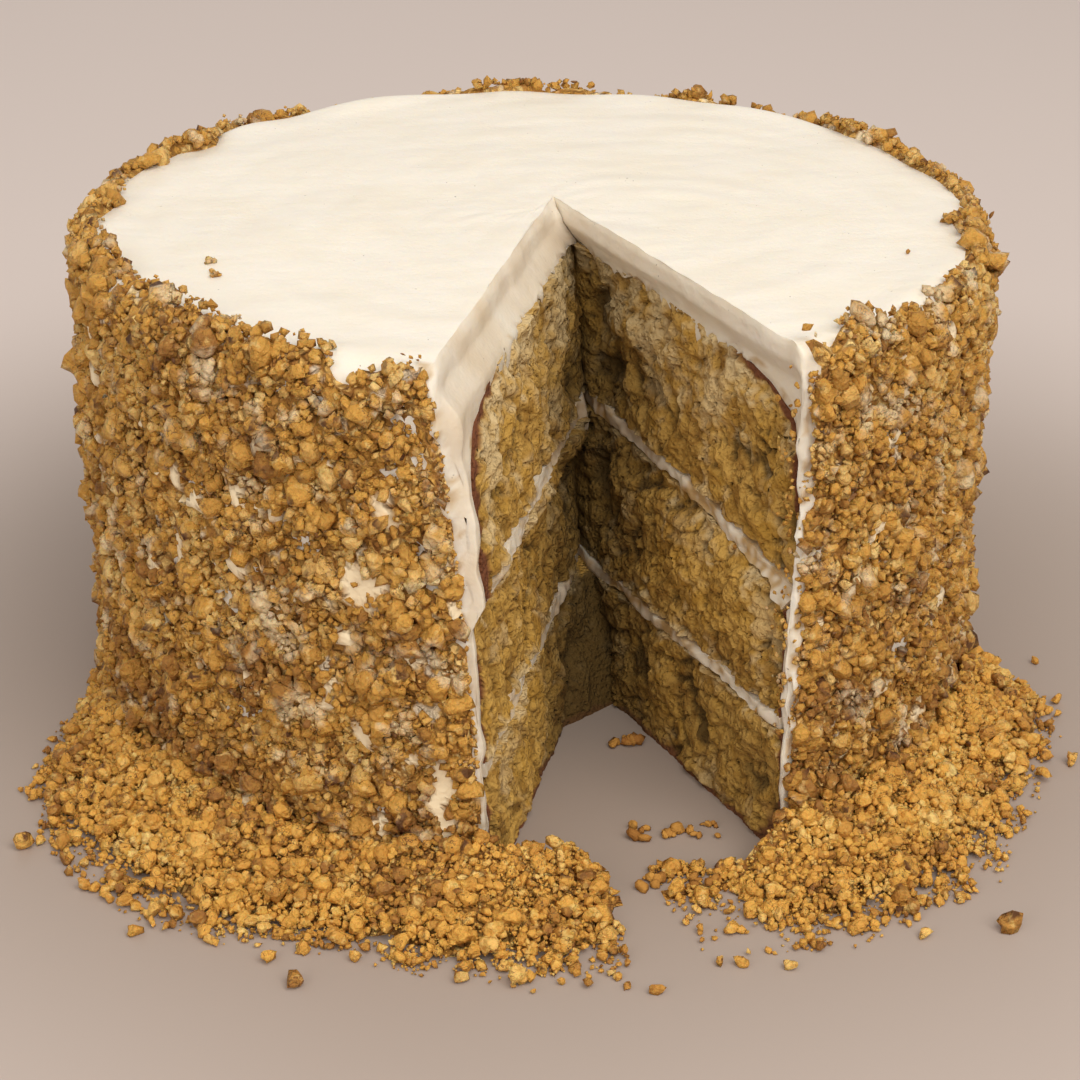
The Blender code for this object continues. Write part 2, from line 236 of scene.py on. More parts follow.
def turned_slab(name, cells, steps, sweep=SWEEP, hole=0.0):
    """A grid spun about Z into a closed slab: its mesh, and each point's turn, x and z.

    Without a hole the slab is closed at the axis. All three values run from 0 to 1.
    """
    form = bmesh.new()
    bmesh.ops.create_grid(form, x_segments=cells[0], y_segments=cells[1], size=0.5)
    bmesh.ops.translate(form, verts=form.verts, vec=(0.5 + hole, 0.5, 0.0))
    upright = Matrix.Rotation(math.pi / 2.0, 3, "X")
    bmesh.ops.rotate(form, verts=form.verts, cent=(0, 0, 0), matrix=upright)
    outline = form.verts[:] + form.edges[:] + form.faces[:]
    bmesh.ops.spin(form, geom=outline, cent=(0, 0, 0), axis=(0, 0, 1), angle=sweep, steps=steps)
    bmesh.ops.remove_doubles(form, verts=form.verts, dist=1e-6)
    bmesh.ops.recalc_face_normals(form, faces=form.faces)
    mesh = bpy.data.meshes.new(name)
    form.to_mesh(mesh)
    form.free()
    points = positions(mesh)
    turn = np.arctan2(points[:, 1], points[:, 0]) % (2.0 * math.pi) / sweep
    far = np.hypot(points[:, 0], points[:, 1])
    turn[(turn > 1.0 + 1e-4) | (far < 1e-6)] = 0.0
    out = far - hole
    return mesh, np.clip(turn, 0.0, 1.0), np.clip(out, 0.0, 1.0), points[:, 2]


def positions(mesh):
    flat = np.empty(len(mesh.vertices) * 3)
    mesh.vertices.foreach_get("co", flat)
    return flat.reshape(-1, 3)


def add_piece(name, mesh, points, finish, slot, nodes, sharp=SHARP_ANGLE, **values):
    """Gives a mesh its points, its values and its finish, and puts it in the frame."""
    mesh.vertices.foreach_set("co", np.ascontiguousarray(points).ravel())
    for label, value in values.items():
        layer = mesh.attributes.new(label, "FLOAT", "POINT")
        layer.data.foreach_set("value", np.asarray(value, dtype=np.float32))
    mesh.shade_smooth()
    mesh.set_sharp_from_angle(angle=sharp)
    mesh.materials.append(finish)
    mesh.update()
    piece = bpy.data.objects.new(name, mesh)
    bpy.context.scene.collection.objects.link(piece)
    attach(piece, "root")
    if nodes:
        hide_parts(*nodes)


class Wire:
    """A socket of a material, with arithmetic on it and a way to add further nodes."""

    def __init__(self, tree, socket=None):
        self.tree = tree
        self.socket = socket

    def node(self, kind, settings=None, sockets=None, out=0):
        made = self.tree.nodes.new(kind)
        for name, value in (settings or {}).items():
            if name == "stops":
                while len(made.color_ramp.elements) < len(value):
                    made.color_ramp.elements.new(0.5)
                for element, (position, colour) in zip(made.color_ramp.elements, value):
                    element.position = position
                    element.color = (*colour, 1.0)
            else:
                setattr(made, name, value)
        for name, value in (sockets or {}).items():
            if isinstance(value, Wire):
                self.tree.links.new(value.socket, made.inputs[name])
            else:
                made.inputs[name].default_value = value
        return Wire(self.tree, made.outputs[out])

    def maths(self, operation, *values):
        return self.node("ShaderNodeMath", {"operation": operation}, dict(enumerate(values)))

    def __add__(self, other):
        return self.maths("ADD", self, other)

    __radd__ = __add__

    def __sub__(self, other):
        return self.maths("SUBTRACT", self, other)

    def __rsub__(self, other):
        return self.maths("SUBTRACT", other, self)

    def __mul__(self, other):
        return self.maths("MULTIPLY", self, other)

    __rmul__ = __mul__

    def eased(self, low, high):
        """0 below low and 1 above high, or the other way round."""
        ends = {0: self, 1: low, 2: high}
        return self.node("ShaderNodeMapRange", {"interpolation_type": "SMOOTHSTEP"}, ends)

    def blend(self, first, second):
        """A colour between two, by this share."""
        pair = [(*c, 1.0) if isinstance(c, tuple) else c for c in (first, second)]
        sockets = {0: self, 6: pair[0], 7: pair[1]}
        return self.node("ShaderNodeMix", {"data_type": "RGBA"}, sockets, out=2)

    def ramp(self, *stops):
        """A colour read off a ramp of (position, colour) stops."""
        return self.node("ShaderNodeValToRGB", {"stops": stops}, {0: self})

    def value(self, label):
        """The mesh's own value of that name."""
        settings = {"attribute_name": label, "attribute_type": "GEOMETRY"}
        return self.node("ShaderNodeAttribute", settings, out=2)

    def grain(self, size, detail=2.0, roughness=0.5, stretch=(1.0, 1.0, 1.0)):
        """Noise whose swells are size metres apart, longer along an axis that stretch grows."""
        where = self.node("ShaderNodeTexCoord", out=3)
        factors = {0: where, 1: tuple(1.0 / (size * s) for s in stretch)}
        scaled = self.node("ShaderNodeVectorMath", {"operation": "MULTIPLY"}, factors)
        sockets = {"Vector": scaled, "Scale": 1.0, "Detail": detail, "Roughness": roughness}
        return self.node("ShaderNodeTexNoise", None, sockets)

    def magnitude(self):
        return self.maths("ABSOLUTE", self)

    def cells(self, size, feature="F1", out=0):
        """Cells size metres apart, bent out of true: a distance, or with out=1 a shade each."""
        where = self.node("ShaderNodeTexCoord", out=3)
        sockets = {"Vector": where, "Scale": 1.5 / size, "Detail": 2.0}
        bend = self.node("ShaderNodeTexNoise", None, sockets, out=1)
        terms = {0: bend, 1: (0.45 * size,) * 3, 2: where}
        bent = self.node("ShaderNodeVectorMath", {"operation": "MULTIPLY_ADD"}, terms)
        sockets = {"Vector": bent, "Scale": 1.0 / size}
        return self.node("ShaderNodeTexVoronoi", {"feature": feature}, sockets, out=out)

    def bump(self, depth):
        """A normal raised by this height, depth metres at 1."""
        return self.node("ShaderNodeBump", None, {"Distance": depth, "Height": self})


def new_finish(name, **constants):
    """A material, its shader with the given constants, and a wire to build its nodes with."""
    material = bpy.data.materials.new(name)
    material.use_nodes = True
    shader = material.node_tree.nodes["Principled BSDF"]
    for label, value in constants.items():
        shader.inputs[label.replace("_", " ").title().replace("Ior", "IOR")].default_value = value
    return material, shader, Wire(material.node_tree)


def feed(shader, **wires):
    """Links wires to the shader's sockets."""
    for label, wire in wires.items():
        wire.tree.links.new(wire.socket, shader.inputs[label.replace("_", " ").title()])


CREAM_COLOUR = (0.68, 0.53, 0.29)
CRUMB_GOLD = (0.440, 0.240, 0.036)
CRUMB_PALE = (0.60, 0.365, 0.088)
CRUMB_BROWN = (0.26, 0.128, 0.019)
# CRUMB_DEEP is the colour of painted shade in the crumb, and also of its banana flecks.
CRUMB_DEEP = (0.075, 0.042, 0.009)
CRUST_COLOUR = (0.165, 0.056, 0.022)

crumb_finish, shader, wire = new_finish("banana_crumb", roughness=0.82, specular_ior_level=0.3)
swell = wire.grain(0.011).eased(0.35, 0.68)
patch = wire.grain(0.0035, detail=3.0).eased(0.35, 0.68)
hollow = wire.value("hollow")
tint = swell.blend(CRUMB_GOLD, CRUMB_BROWN)
tint = (wire.cells(0.0052, out=1).eased(0.45, 0.75) * 0.6).blend(tint, CRUMB_PALE)
tint = (patch * 0.6).blend(tint, CRUMB_PALE)
# The crumb's holes, cracks and pits get painted shade here.
tint = (hollow.eased(0.2, 1.0) * 0.9).blend(tint, CRUMB_DEEP)
banana = wire.grain(0.0014, stretch=(1.0, 1.0, 2.5)).eased(0.70, 0.76)
tint = (banana * 0.6).blend(tint, CRUMB_DEEP)
tint = wire.value("cream").blend(tint, CREAM_COLOUR)
tint = wire.value("crust").blend(tint, CRUST_COLOUR)
# inner carries painted shade, deep in the slice and low on the right-hand cut.
tint = (wire.value("inner") * 0.72).blend(tint, CRUMB_DEEP)
pores = wire.cells(0.0011).eased(0.10, 0.6)
feed(
    shader,
    base_color=tint,
    roughness=0.86 - wire.value("cream") * 0.3,
    normal=(wire.grain(0.0012, detail=4.0) + pores * 0.5).bump(0.0007),
)


def torn_crumb(face):
    """How far torn crumb stands out at points of a cut, and how deep in shade they lie."""
    bent = face + swells(face, CRUMB_WANDER)[:, None]
    gap, _, number = lumps(bent, CRUMB_LUMP)
    relief = LUMP_HEIGHT * number - CRACK_DEPTH * smooth(gap, 0.20, 0.0)
    relief += swells(face, CRUMB_SWELLS)
    shade = 0.55 * smooth(gap, 0.14, 0.0)
    for pitch, depth, seed in CRUMB_HOLES:
        _, middle, number = lumps(bent, pitch, seed)
        hole = smooth(middle, 0.38, 0.16) * (number > 0.1)
        relief -= depth * hole
        shade = np.maximum(shade, 0.85 * hole)
    relief -= relief.mean()
    return relief, np.maximum(shade, smooth(relief, 0.0, -0.0022))


def patch_on_cut(at, side, far_out, middle, half_width, half_height):
    """1 in the middle of a soft patch on the right (0) or left (1) cut, 0 outside it."""
    left, reach, height = at
    far = np.hypot((reach - far_out) / half_width, (height - middle) / half_height)
    return np.exp(-(far**2)) * (left == bool(side))


# Broad smears of cream and torn pits on the cuts: right (0) or left (1), distance out,
# height, half width, half height, and strength or depth.
UPPER_SMEARS = [
    (0, 0.018, 0.101, 0.007, 0.0075, 0.75), (0, 0.040, 0.101, 0.016, 0.0080, 0.70),
    (0, 0.062, 0.098, 0.014, 0.0080, 0.62), (0, 0.036, 0.088, 0.010, 0.0060, 0.45),
    (1, 0.024, 0.099, 0.013, 0.0090, 0.70), (1, 0.050, 0.104, 0.014, 0.0060, 0.62),
    (1, 0.086, 0.090, 0.010, 0.0140, 0.62), (1, 0.034, 0.084, 0.012, 0.0060, 0.50),
    (1, 0.088, 0.079, 0.010, 0.0040, 0.65),
]
UPPER_PITS = [
    (0, 0.0085, 0.099, 0.0048, 0.0090, 0.0042), (0, 0.0150, 0.084, 0.0065, 0.0070, 0.0032),
    (0, 0.0960, 0.080, 0.0040, 0.0055, 0.0022), (1, 0.0100, 0.081, 0.0050, 0.0050, 0.0022),
]
MIDDLE_SMEARS = [
    (1, 0.060, 0.066, 0.018, 0.0040, 0.65), (1, 0.085, 0.052, 0.010, 0.0050, 0.40),
    (0, 0.090, 0.056, 0.008, 0.0050, 0.40), (0, 0.060, 0.060, 0.012, 0.0050, 0.35),
]
MIDDLE_PITS = [
    (0, 0.0110, 0.058, 0.0070, 0.0090, 0.0036), (1, 0.0120, 0.055, 0.0080, 0.0090, 0.0026),
]
LOWER_SMEARS = [(1, 0.080, 0.022, 0.014, 0.0050, 0.45)]
LOWER_PITS = [
    (0, 0.0300, 0.016, 0.0070, 0.0060, 0.0016), (0, 0.0620, 0.014, 0.0070, 0.0050, 0.0016),
    (0, 0.0880, 0.012, 0.0060, 0.0050, 0.0014),
]


def cake_layer(
    name, node, radius, under, over, torn=False, crusts=(), cream=(), smears=(), pits=()
):
    """A layer between two heights that depend on the radius.

    Crusts have a depth, a place and a side; cream has a reach, a strength and a side.
    """
    mesh, turn, out, up = turned_slab(name, LAYER_CELLS, LAYER_STEPS)
    reach = radius * (1.0 - (1.0 - out) ** LAYER_CROWDING)
    middle = np.full(len(reach), (under(0.0) + over(0.0)) / 2.0)
    true_radius = np.hypot(*place(turn, reach, middle, torn)[:, :2].T)
    true_radius = np.minimum(true_radius, radius)
    height = under(true_radius) + (over(true_radius) - under(true_radius)) * up
    points = place(turn, reach, height, torn)

    outward = out_of_cut(turn)
    cut = outward.any(axis=1)
    face = points[cut]
    hollow = np.zeros(len(points))
    relief, hollow[cut] = torn_crumb(face)
    # Painted shade: the cut crumb is darkened towards the slice's tip, less so near the top, and
    # low on the right-hand cut.
    inner = smooth(reach, 0.062, 0.010) * (1.0 - 0.5 * smooth(height, 0.080, 0.098))
    inner = np.maximum(inner, 0.38 * smooth(height, 0.045, 0.018) * (turn < 0.5)) * cut

    below_top = over(true_radius) - height
    from_side = radius - true_radius
    crust = np.zeros(len(points))
    ragged = np.ones(len(points))
    ragged[cut] = 1.0 + 0.45 * waves(face, 0.0045, 1.7)
    for depth, near_turn, kind in crusts:
        distance = {"top": below_top, "side": from_side, "foot": height}[kind]
        line = smooth(distance / (depth * ragged), 1.15, 0.7) * near_turn(true_radius, height, turn)
        crust = np.maximum(crust, line)
    creamy = np.zeros(len(points))
    for reach_down, strength, kind in cream:
        distance = {"top": below_top, "foot": height - under(true_radius)}[kind]
        near = np.exp(-distance[cut] / reach_down)
        streak = 0.5 + 0.5 * waves(face * (1.0, 1.0, 0.5), 0.0055, 3.3)
        streak += 0.25 * waves(face, 0.0017, 6.1)
        smear = 0.8 * smooth(near * strength + 0.55 * streak, 0.62, 1.05)
        creamy[cut] = np.maximum(creamy[cut], smear)
    at = (turn[cut] > 0.5, reach[cut], height[cut])
    for side, far_out, middle, half_width, half_height, strength in smears:
        streak = waves(face * (1.0, 1.0, 0.5), 0.0065, 4.2) + 0.5 * waves(face, 0.0021, 6.1)
        patch = patch_on_cut(at, side, far_out, middle, half_width, half_height)
        smear = strength * smooth(patch + 0.5 * streak, 0.2, 1.05)
        creamy[cut] = np.maximum(creamy[cut], smear)
    for side, far_out, middle, half_width, half_height, depth in pits:
        patch = patch_on_cut(at, side, far_out, middle, half_width, half_height)
        patch *= 1.0 + 0.5 * waves(face, 0.0050, 9.4)
        relief -= depth * patch
        # Each pit is also painted dark, as shade.
        hollow[cut] = np.maximum(hollow[cut], 0.9 * smooth(patch, 0.2, 0.8))
    if torn:
        # Near the tip, the torn stub's face is painted dark as shade.
        hollow[cut] = np.maximum(hollow[cut], 0.75 * smooth(reach[cut], 0.013, 0.009))
    creamy *= 1.0 - smooth(crust, 0.2, 0.6)
    relief *= 1.0 - 0.75 * crust[cut]
    relief += SMEAR_RAISED * creamy[cut]
    hollow[cut] *= 1.0 - 0.4 * creamy[cut]

    clear = smooth(reach[cut], 0.0, TIP_CLEAR)[:, None]
    points[cut] += outward[cut] * relief[:, None] * clear
    if torn:
        points[cut] -= (0.0, 1.0, 0.0) * relief[:, None] * (1.0 - clear)
    else:
        points[:, 1] += TIP_CRACK * smooth(reach, 0.005, 0.0)
    add_piece(
        name, mesh, settle(points), crumb_finish, "banana_crumb", [node],
        hollow=hollow, crust=crust, cream=creamy, inner=inner,
    )


def everywhere(radius, height, turn):
    return np.ones(len(radius))


def shoulder_only(radius, height, turn):
    return smooth(radius / UPPER_RADIUS, 0.70, 0.80)


def upper_side_only(radius, height, turn):
    return smooth(height, 0.0745, 0.0785)


def left_patch_only(radius, height, turn):
    return smooth(height, 0.0625, 0.0670) * (turn > 0.5)


def right_foot_only(radius, height, turn):
    return smooth(height, 0.0130, 0.0040) * (turn < 0.5)


cake_layer(
    "lower_cake_layer", "cake_layer_lower", LOWER_RADIUS,
    under=lambda r: 0.0 * r,
    over=lambda r: crown(r, LOWER_TOP, LOWER_RISE),
    torn=True,
    crusts=[
        (0.0012, everywhere, "foot"),
        (0.0005, everywhere, "side"),
        (0.0050, right_foot_only, "side"),
    ],
    cream=[(0.0035, 0.55, "top")],
    smears=LOWER_SMEARS,
    pits=LOWER_PITS,
)
cake_layer(
    "middle_cake_layer", "cake_layer_middle", MIDDLE_RADIUS,
    under=lambda r: crown(r, LOWER_TOP + LOWER_CREAM, LOWER_RISE),
    over=lambda r: crown(r, MIDDLE_TOP, MIDDLE_RISE),
    crusts=[(0.0006, everywhere, "side")],
    cream=[(0.0055, 0.55, "top"), (0.0030, 0.5, "foot")],
    smears=MIDDLE_SMEARS,
    pits=MIDDLE_PITS,
)
cake_layer(
    "upper_cake_layer", "cake_layer_upper", UPPER_RADIUS,
    under=lambda r: crown(r, MIDDLE_TOP + UPPER_CREAM, MIDDLE_RISE),
    over=dome,
    crusts=[
        (0.0019, shoulder_only, "top"),
        (0.0017, upper_side_only, "side"),
        (0.0030, left_patch_only, "side"),
    ],
    cream=[(0.0170, 0.64, "top"), (0.0035, 0.5, "foot")],
    smears=UPPER_SMEARS,
    pits=UPPER_PITS,
)

# ----------------------------------------------------------------------- cream fillings
# The cream between the layers, spread with a knife and pressed out unevenly where the slice
# was cut. Each is a thin turned slab that follows the crown of the layer under it.

FILLING_CELLS = (230, 10)
FILLING_STEPS = 30
FILLING_THICKENING = [(0.65, 0.013, 0.0), (0.35, 0.0048, 3.0), (0.2, 0.0021, 4.0)]
FILLING_WANDER = [(0.0006, 0.016, 6.0)]
FILLING_BULGE = [(0.0006, 0.011, 9.0)]
FILLING_GRAIN = [(0.0003, 0.0026, 0.0)]
DRIP_REACH = 0.0052
DRIP_WIDTH = 0.0016

cream_finish, shader, wire = new_finish(
    "cream",
    roughness=0.48,
    specular_ior_level=0.35,
    subsurface_weight=0.2,
    subsurface_scale=0.004,
)
shader.inputs["Subsurface Radius"].default_value = (1.0, 0.75, 0.45)
CREAM_LIGHT = (0.84, 0.785, 0.675)
CREAM_WARM = (0.80, 0.71, 0.54)
SPECK_COLOUR = (0.10, 0.05, 0.02)
mottle = wire.grain(0.018, detail=3.0).eased(0.35, 0.7)
specks = wire.grain(0.0011, detail=1.0).eased(0.765, 0.80) * wire.grain(0.012).eased(0.42, 0.62)
tint = (mottle * 0.3).blend(CREAM_LIGHT, CREAM_WARM)
tint = wire.value("crumbs").blend(tint, CRUMB_GOLD)
# Cut cream near the slice's tip is painted darker, as shade.
tint = (wire.value("inner") * 0.5).blend(tint, CRUMB_BROWN)
tint = (specks * 0.75).blend(tint, SPECK_COLOUR)
strokes = wire.grain(0.007, detail=2.0, stretch=(3.5, 1.2, 0.7)) + wire.grain(0.016) * 1.2
feed(
    shader,
    base_color=tint,
    normal=(strokes * 0.8 + wire.grain(0.0011, detail=3.0) * 0.25).bump(0.0005),
)


def seeded(kinds, seed):
    """The same swells from another seed."""
    return [(height, pitch, seed + own) for height, pitch, own in kinds]


def filling(name, node, radius, rim, rise, thickness, seed, drip=0.0):
    """A spread of cream on a layer's crown, bulging and ragged where it was cut."""
    mesh, turn, out, up = turned_slab(name, FILLING_CELLS, FILLING_STEPS)
    reach = radius * out
    base = np.full(len(reach), rim + rise)
    true_radius = np.minimum(np.hypot(*place(turn, reach, base)[:, :2].T), radius)
    base = crown(true_radius, rim, rise)
    outward = out_of_cut(turn)
    cut = outward.any(axis=1)
    along = np.column_stack([reach, 0.05 * (turn > 0.5), np.zeros(len(reach))])
    swell = np.zeros(len(reach))
    swell[cut] = swells(along[cut], seeded(FILLING_THICKENING, seed))
    wander = np.zeros(len(reach))
    wander[cut] = swells(along[cut], seeded(FILLING_WANDER, seed))
    thick = thickness * np.where(turn < 0.5, 0.8, 0.95) * (1.0 + 0.6 * swell)
    hanging = np.exp(-(((reach - DRIP_REACH) / DRIP_WIDTH) ** 2)) * cut * (turn > 0.5)
    height = base + wander + thickness / 2.0 + thick * (up - 0.5)
    height -= drip * hanging * (1.0 - up)
    points = place(turn, reach, height)
    face = points[cut]
    round_off = np.sqrt(np.clip(1.0 - (2.0 * up[cut] - 1.0) ** 2, 0.0, 1.0))
    bulge = 0.0001 + swells(along[cut], seeded(FILLING_BULGE, seed))
    relief = bulge * round_off + swells(face, seeded(FILLING_GRAIN, seed))
    relief += 0.18 * drip * hanging[cut] * (0.4 + 0.6 * round_off)
    points[cut] += outward[cut] * (relief * smooth(reach[cut], 0.0, TIP_CLEAR))[:, None]
    points[:, 1] += TIP_CRACK * smooth(reach, 0.005, 0.0)
    crumbs = np.zeros(len(points))
    smeared = np.where(turn[cut] < 0.5, 0.80, 0.50)
    patchy = waves(face, 0.0085, seed + 1) + 0.7 * waves(face, 0.0020, seed + 2)
    crumbs[cut] = smeared * (0.25 + 0.75 * smooth(patchy, -0.6, 0.9))
    # Painted shade: the cut filling darkens towards the slice's tip.
    inner = smooth(reach, 0.055, 0.006) * cut
    add_piece(name, mesh, settle(points), cream_finish, "cream", [node], crumbs=crumbs, inner=inner)


filling(
    "lower_filling", "filling_lower", MIDDLE_RADIUS, LOWER_TOP, LOWER_RISE, LOWER_CREAM, 1.0
)
filling(
    "upper_filling", "filling_upper", UPPER_RADIUS, MIDDLE_TOP, MIDDLE_RISE, UPPER_CREAM, 21.0,
    drip=0.0085,
)

# ---------------------------------------------------------------------------- frosting
# One coat of cream over the top and down the side, smoothed with a long knife. It is thick
# over the round shoulder of the top layer. A strip that runs from the middle of the top to
# the foot of the side is turned round the cake, then the knife's strokes are raised in it.

FROSTING_CELLS = (166, 18)
FROSTING_STEPS = 244
CORNER_CROWDING = 0.76
CORNER_ROUNDING = 0.0013
RIM_ROUNDING = 0.0045
SIDE_HEIGHT = CAKE_TOP - RIM_ROUNDING
RIM_ARC = RIM_ROUNDING * math.pi / 2.0
TOP_FLAT = CREAM_RADIUS - RIM_ROUNDING
CORNER_BULGE = 0.0018
CORNER_WIDTH = 0.0060
CORNER_HEIGHTS = [0.0, 0.02, 0.04, 0.06, 0.075, 0.085, 0.095, 0.11, CAKE_TOP]
CORNER_SWELLING = [0.0, 0.1, 0.5, 0.8, 0.3, 0.3, 1.0, 0.9, 0.3]
DRAG_DEPTH = 0.0030
DRAG_REACH = (0.072, 0.083)
DRAG_RAISED = 0.0007
TONGUE_REACH = 0.0022
TONGUE_WIDTH = 0.0016
TONGUE_DEPTH = 0.0016
TOP_HEAVE = 0.00030
STROKE_HEIGHT = 0.00016
STROKE_PITCH = 0.0065
STROKE_MIDDLE = (0.02, -0.01)
RIM_HEAVE = 0.0007
SIDE_SWELLS = [(0.0005, 0.008, 5.0)]
CORNER_SWELLS = [(0.0006, 0.0036, 13.0)]
CUT_SWELLS = [(0.00035, 0.016, 7.0), (0.00015, 0.004, 8.0)]
SHOULDER_SWELLS = [(0.0005, 0.0070, 11.0)]
DRAG_SWELLS = [(0.4, 0.0025, 15.0)]


def outside_of_cream(distance):
    """Radius, height and slope of the cream's outside, a distance along it from its foot."""
    bend = np.clip((distance - SIDE_HEIGHT) / RIM_ROUNDING, 0.0, math.pi / 2.0)
    inward = np.maximum(distance - SIDE_HEIGHT - RIM_ARC, 0.0)
    radius = TOP_FLAT + RIM_ROUNDING * np.cos(bend) - inward
    height = np.minimum(distance, SIDE_HEIGHT) + RIM_ROUNDING * np.sin(bend)
    return radius, height, bend


def inside_of_cream(share):
    """Radius and height of the cream's inside, at a share of its length from the middle."""
    share_of_dome = np.linspace(0.0, 1.0, 60)
    radii = list(UPPER_RADIUS * np.sin(share_of_dome * math.pi / 2.0))
    heights = list(dome(np.array(radii)))
    radii += [UPPER_RADIUS, MIDDLE_RADIUS, MIDDLE_RADIUS, LOWER_RADIUS, LOWER_RADIUS]
    heights += [MIDDLE_TOP + UPPER_CREAM, MIDDLE_TOP, LOWER_TOP + LOWER_CREAM, LOWER_TOP, 0.0]
    steps = np.hypot(np.diff(radii), np.diff(heights))
    walked = np.concatenate([[0.0], np.cumsum(steps)]) / steps.sum()
    return np.interp(share, walked, radii), np.interp(share, walked, heights)


def from_corner(share):
    """How far round the side a share of the way is from the nearer corner of the slice."""
    return np.minimum(share, 1.0 - share) * SWEEP * CREAM_RADIUS


def corner_swell(share, height):
    """How far the knife has drawn the cream out at the right corner of the slice."""
    right = np.exp(-(from_corner(share) / CORNER_WIDTH) ** 2) * (share < 0.5)
    swollen = np.interp(height, CORNER_HEIGHTS, CORNER_SWELLING)
    uneven = 1.0 + 0.35 * waves(np.outer(height, (0, 0, 1)), 0.009)
    return CORNER_BULGE * right * swollen * uneven


mesh, turn, out, across = turned_slab("frosting_coat", FROSTING_CELLS, FROSTING_STEPS)
turn = turn - CORNER_CROWDING * np.sin(2.0 * math.pi * turn) / (2.0 * math.pi)
turn = np.clip(turn, 0.0, 1.0)
length = SIDE_HEIGHT + RIM_ARC + TOP_FLAT
outer_radius, outer_height, bend = outside_of_cream(length * (1.0 - out))
inner_radius, inner_height = inside_of_cream(out)
radius = inner_radius + (outer_radius - inner_radius) * across
height = inner_height + (outer_height - inner_height) * across
on_side = outer_radius > TOP_FLAT
swell = corner_swell(turn, height)
radius = radius + swell * across * np.cos(bend) * on_side
around = from_corner(turn)
rolled = 1.0 - np.sqrt(1.0 - (1.0 - np.minimum(around / CORNER_ROUNDING, 1.0)) ** 2)
uneven = waves(np.outer(height, (0, 0, 1)) + turn[:, None], 0.011)
rolled *= CORNER_ROUNDING * (0.7 + 0.3 * uneven)
radius = radius - rolled * smooth(across, 0.6, 1.0) * np.cos(bend) * on_side
points = place(turn, radius, height)
outer = across > 0.999
where = points * (1.0, 1.0, 0.0)
distance = np.hypot(*(points[:, :2] - STROKE_MIDDLE).T)
slow_turn = 0.02 * np.arctan2(points[:, 0], points[:, 1])
stroke = waves(np.column_stack([distance, slow_turn, 0.0 * out]), STROKE_PITCH)
level = np.sin(bend)
top_relief = TOP_HEAVE * waves(where, 0.030, 3.0) + STROKE_HEIGHT * stroke
near_rim = smooth(outer_radius, 0.088, TOP_FLAT)
top_relief += RIM_HEAVE * near_rim * (0.4 + waves(where, 0.022, 9.0))
corner = smooth(around, 0.0065, 0.0030)
side_relief = swells(points, SIDE_SWELLS) + corner * swells(points, CORNER_SWELLS)
points[:, 2] += outer * level * top_relief
from_middle = np.hypot(points[:, 0], points[:, 1])
spokes = points * (1.0, 1.0, 0.0) / np.maximum(from_middle, 1e-6)[:, None]
points += spokes * (outer * (1.0 - level) * side_relief)[:, None]
outward = out_of_cut(turn)
cut = outward.any(axis=1)
face = points[cut]
relief = 0.0001 + swells(face, CUT_SWELLS)
relief += swells(face, SHOULDER_SWELLS) * smooth(radius[cut], 0.090, 0.099)
relief -= 0.0004 * (smooth(across[cut], 0.80, 1.0) ** 2 + smooth(across[cut], 0.12, 0.0))
tongue = np.exp(-(((radius[cut] - TONGUE_REACH) / TONGUE_WIDTH) ** 2)) * (turn[cut] > 0.5)
tongue *= smooth(height[cut], 0.108, 0.112) * smooth(height[cut], 0.1205, 0.117)
relief = relief * smooth(radius[cut], 0.0, 0.004) + TONGUE_DEPTH * tongue
points[cut] += outward[cut] * relief[:, None]
drag = smooth(across[cut], 0.35, 0.0) * smooth(radius[cut], 0.004, 0.012) * ~on_side[cut]
drag *= smooth(radius[cut], DRAG_REACH[1], DRAG_REACH[0])
low = np.maximum(waves(face * (1.0, 1.0, 0.3), 0.0075, 14.0), 0.0)
low += swells(face, DRAG_SWELLS)
points[cut] += np.outer(drag * np.maximum(low, 0.0), (0.0, 0.0, -DRAG_DEPTH))
points[cut] += outward[cut] * (DRAG_RAISED * drag * smooth(low, 0.0, 0.2))[:, None]
crumbs = np.zeros(len(points))
dragged = smooth(waves(face, 0.0028, 2.0) - 1.6 * smooth(across[cut], 0.0, 0.45), 0.0, 0.8)
stained = np.where(turn[cut] > 0.5, 0.27, 0.15) * (1.0 + 0.5 * waves(face, 0.012, 5.0))
crumbs[cut] = np.maximum(0.7 * dragged, stained)
rough = waves(points, 0.0046, 17.0) + 0.7 * waves(points, 0.0019, 18.0)
crumbs = np.maximum(crumbs, (0.12 + 0.5 * smooth(rough, 0.0, 1.2)) * corner * on_side * ~cut)
inner = np.zeros(len(points))
# Painted shade: the cut frosting darkens towards the slice's tip and its inner face.
inner[cut] = smooth(radius[cut], 0.030, 0.004) * smooth(across[cut], 0.9, 0.1) * 0.6
add_piece(
    "frosting_coat", mesh, settle(points), cream_finish, "cream", ["frosting"],
    crumbs=crumbs, inner=inner,
)

# ------------------------------------------------------------------------------ nut bed
# The finest of the chopped nuts, pressed into the soft cream of the side until they make a
# crust, with cream showing through in places. It is a thin shell that follows the side and
# laps over the rim, and the larger nuts sit on it.

BED_CELLS = (92, 1)
BED_STEPS = 430
BED_DEPTH = 0.0014
BED_UNDER = 0.0012
BED_SWELLS = [(0.0010, 0.013, 2.0), (0.0009, 0.0055, 3.0)]
BED_GRAIN = [(0.0006, 0.0028, 9.0)]
BARE_DEPTH = 0.0022
BARE_SWELLS = [(0.0003, 0.0080, 8.0)]
BED_START = 0.0035
BED_END = 0.9985
SHORTEST_LAP = 0.0005

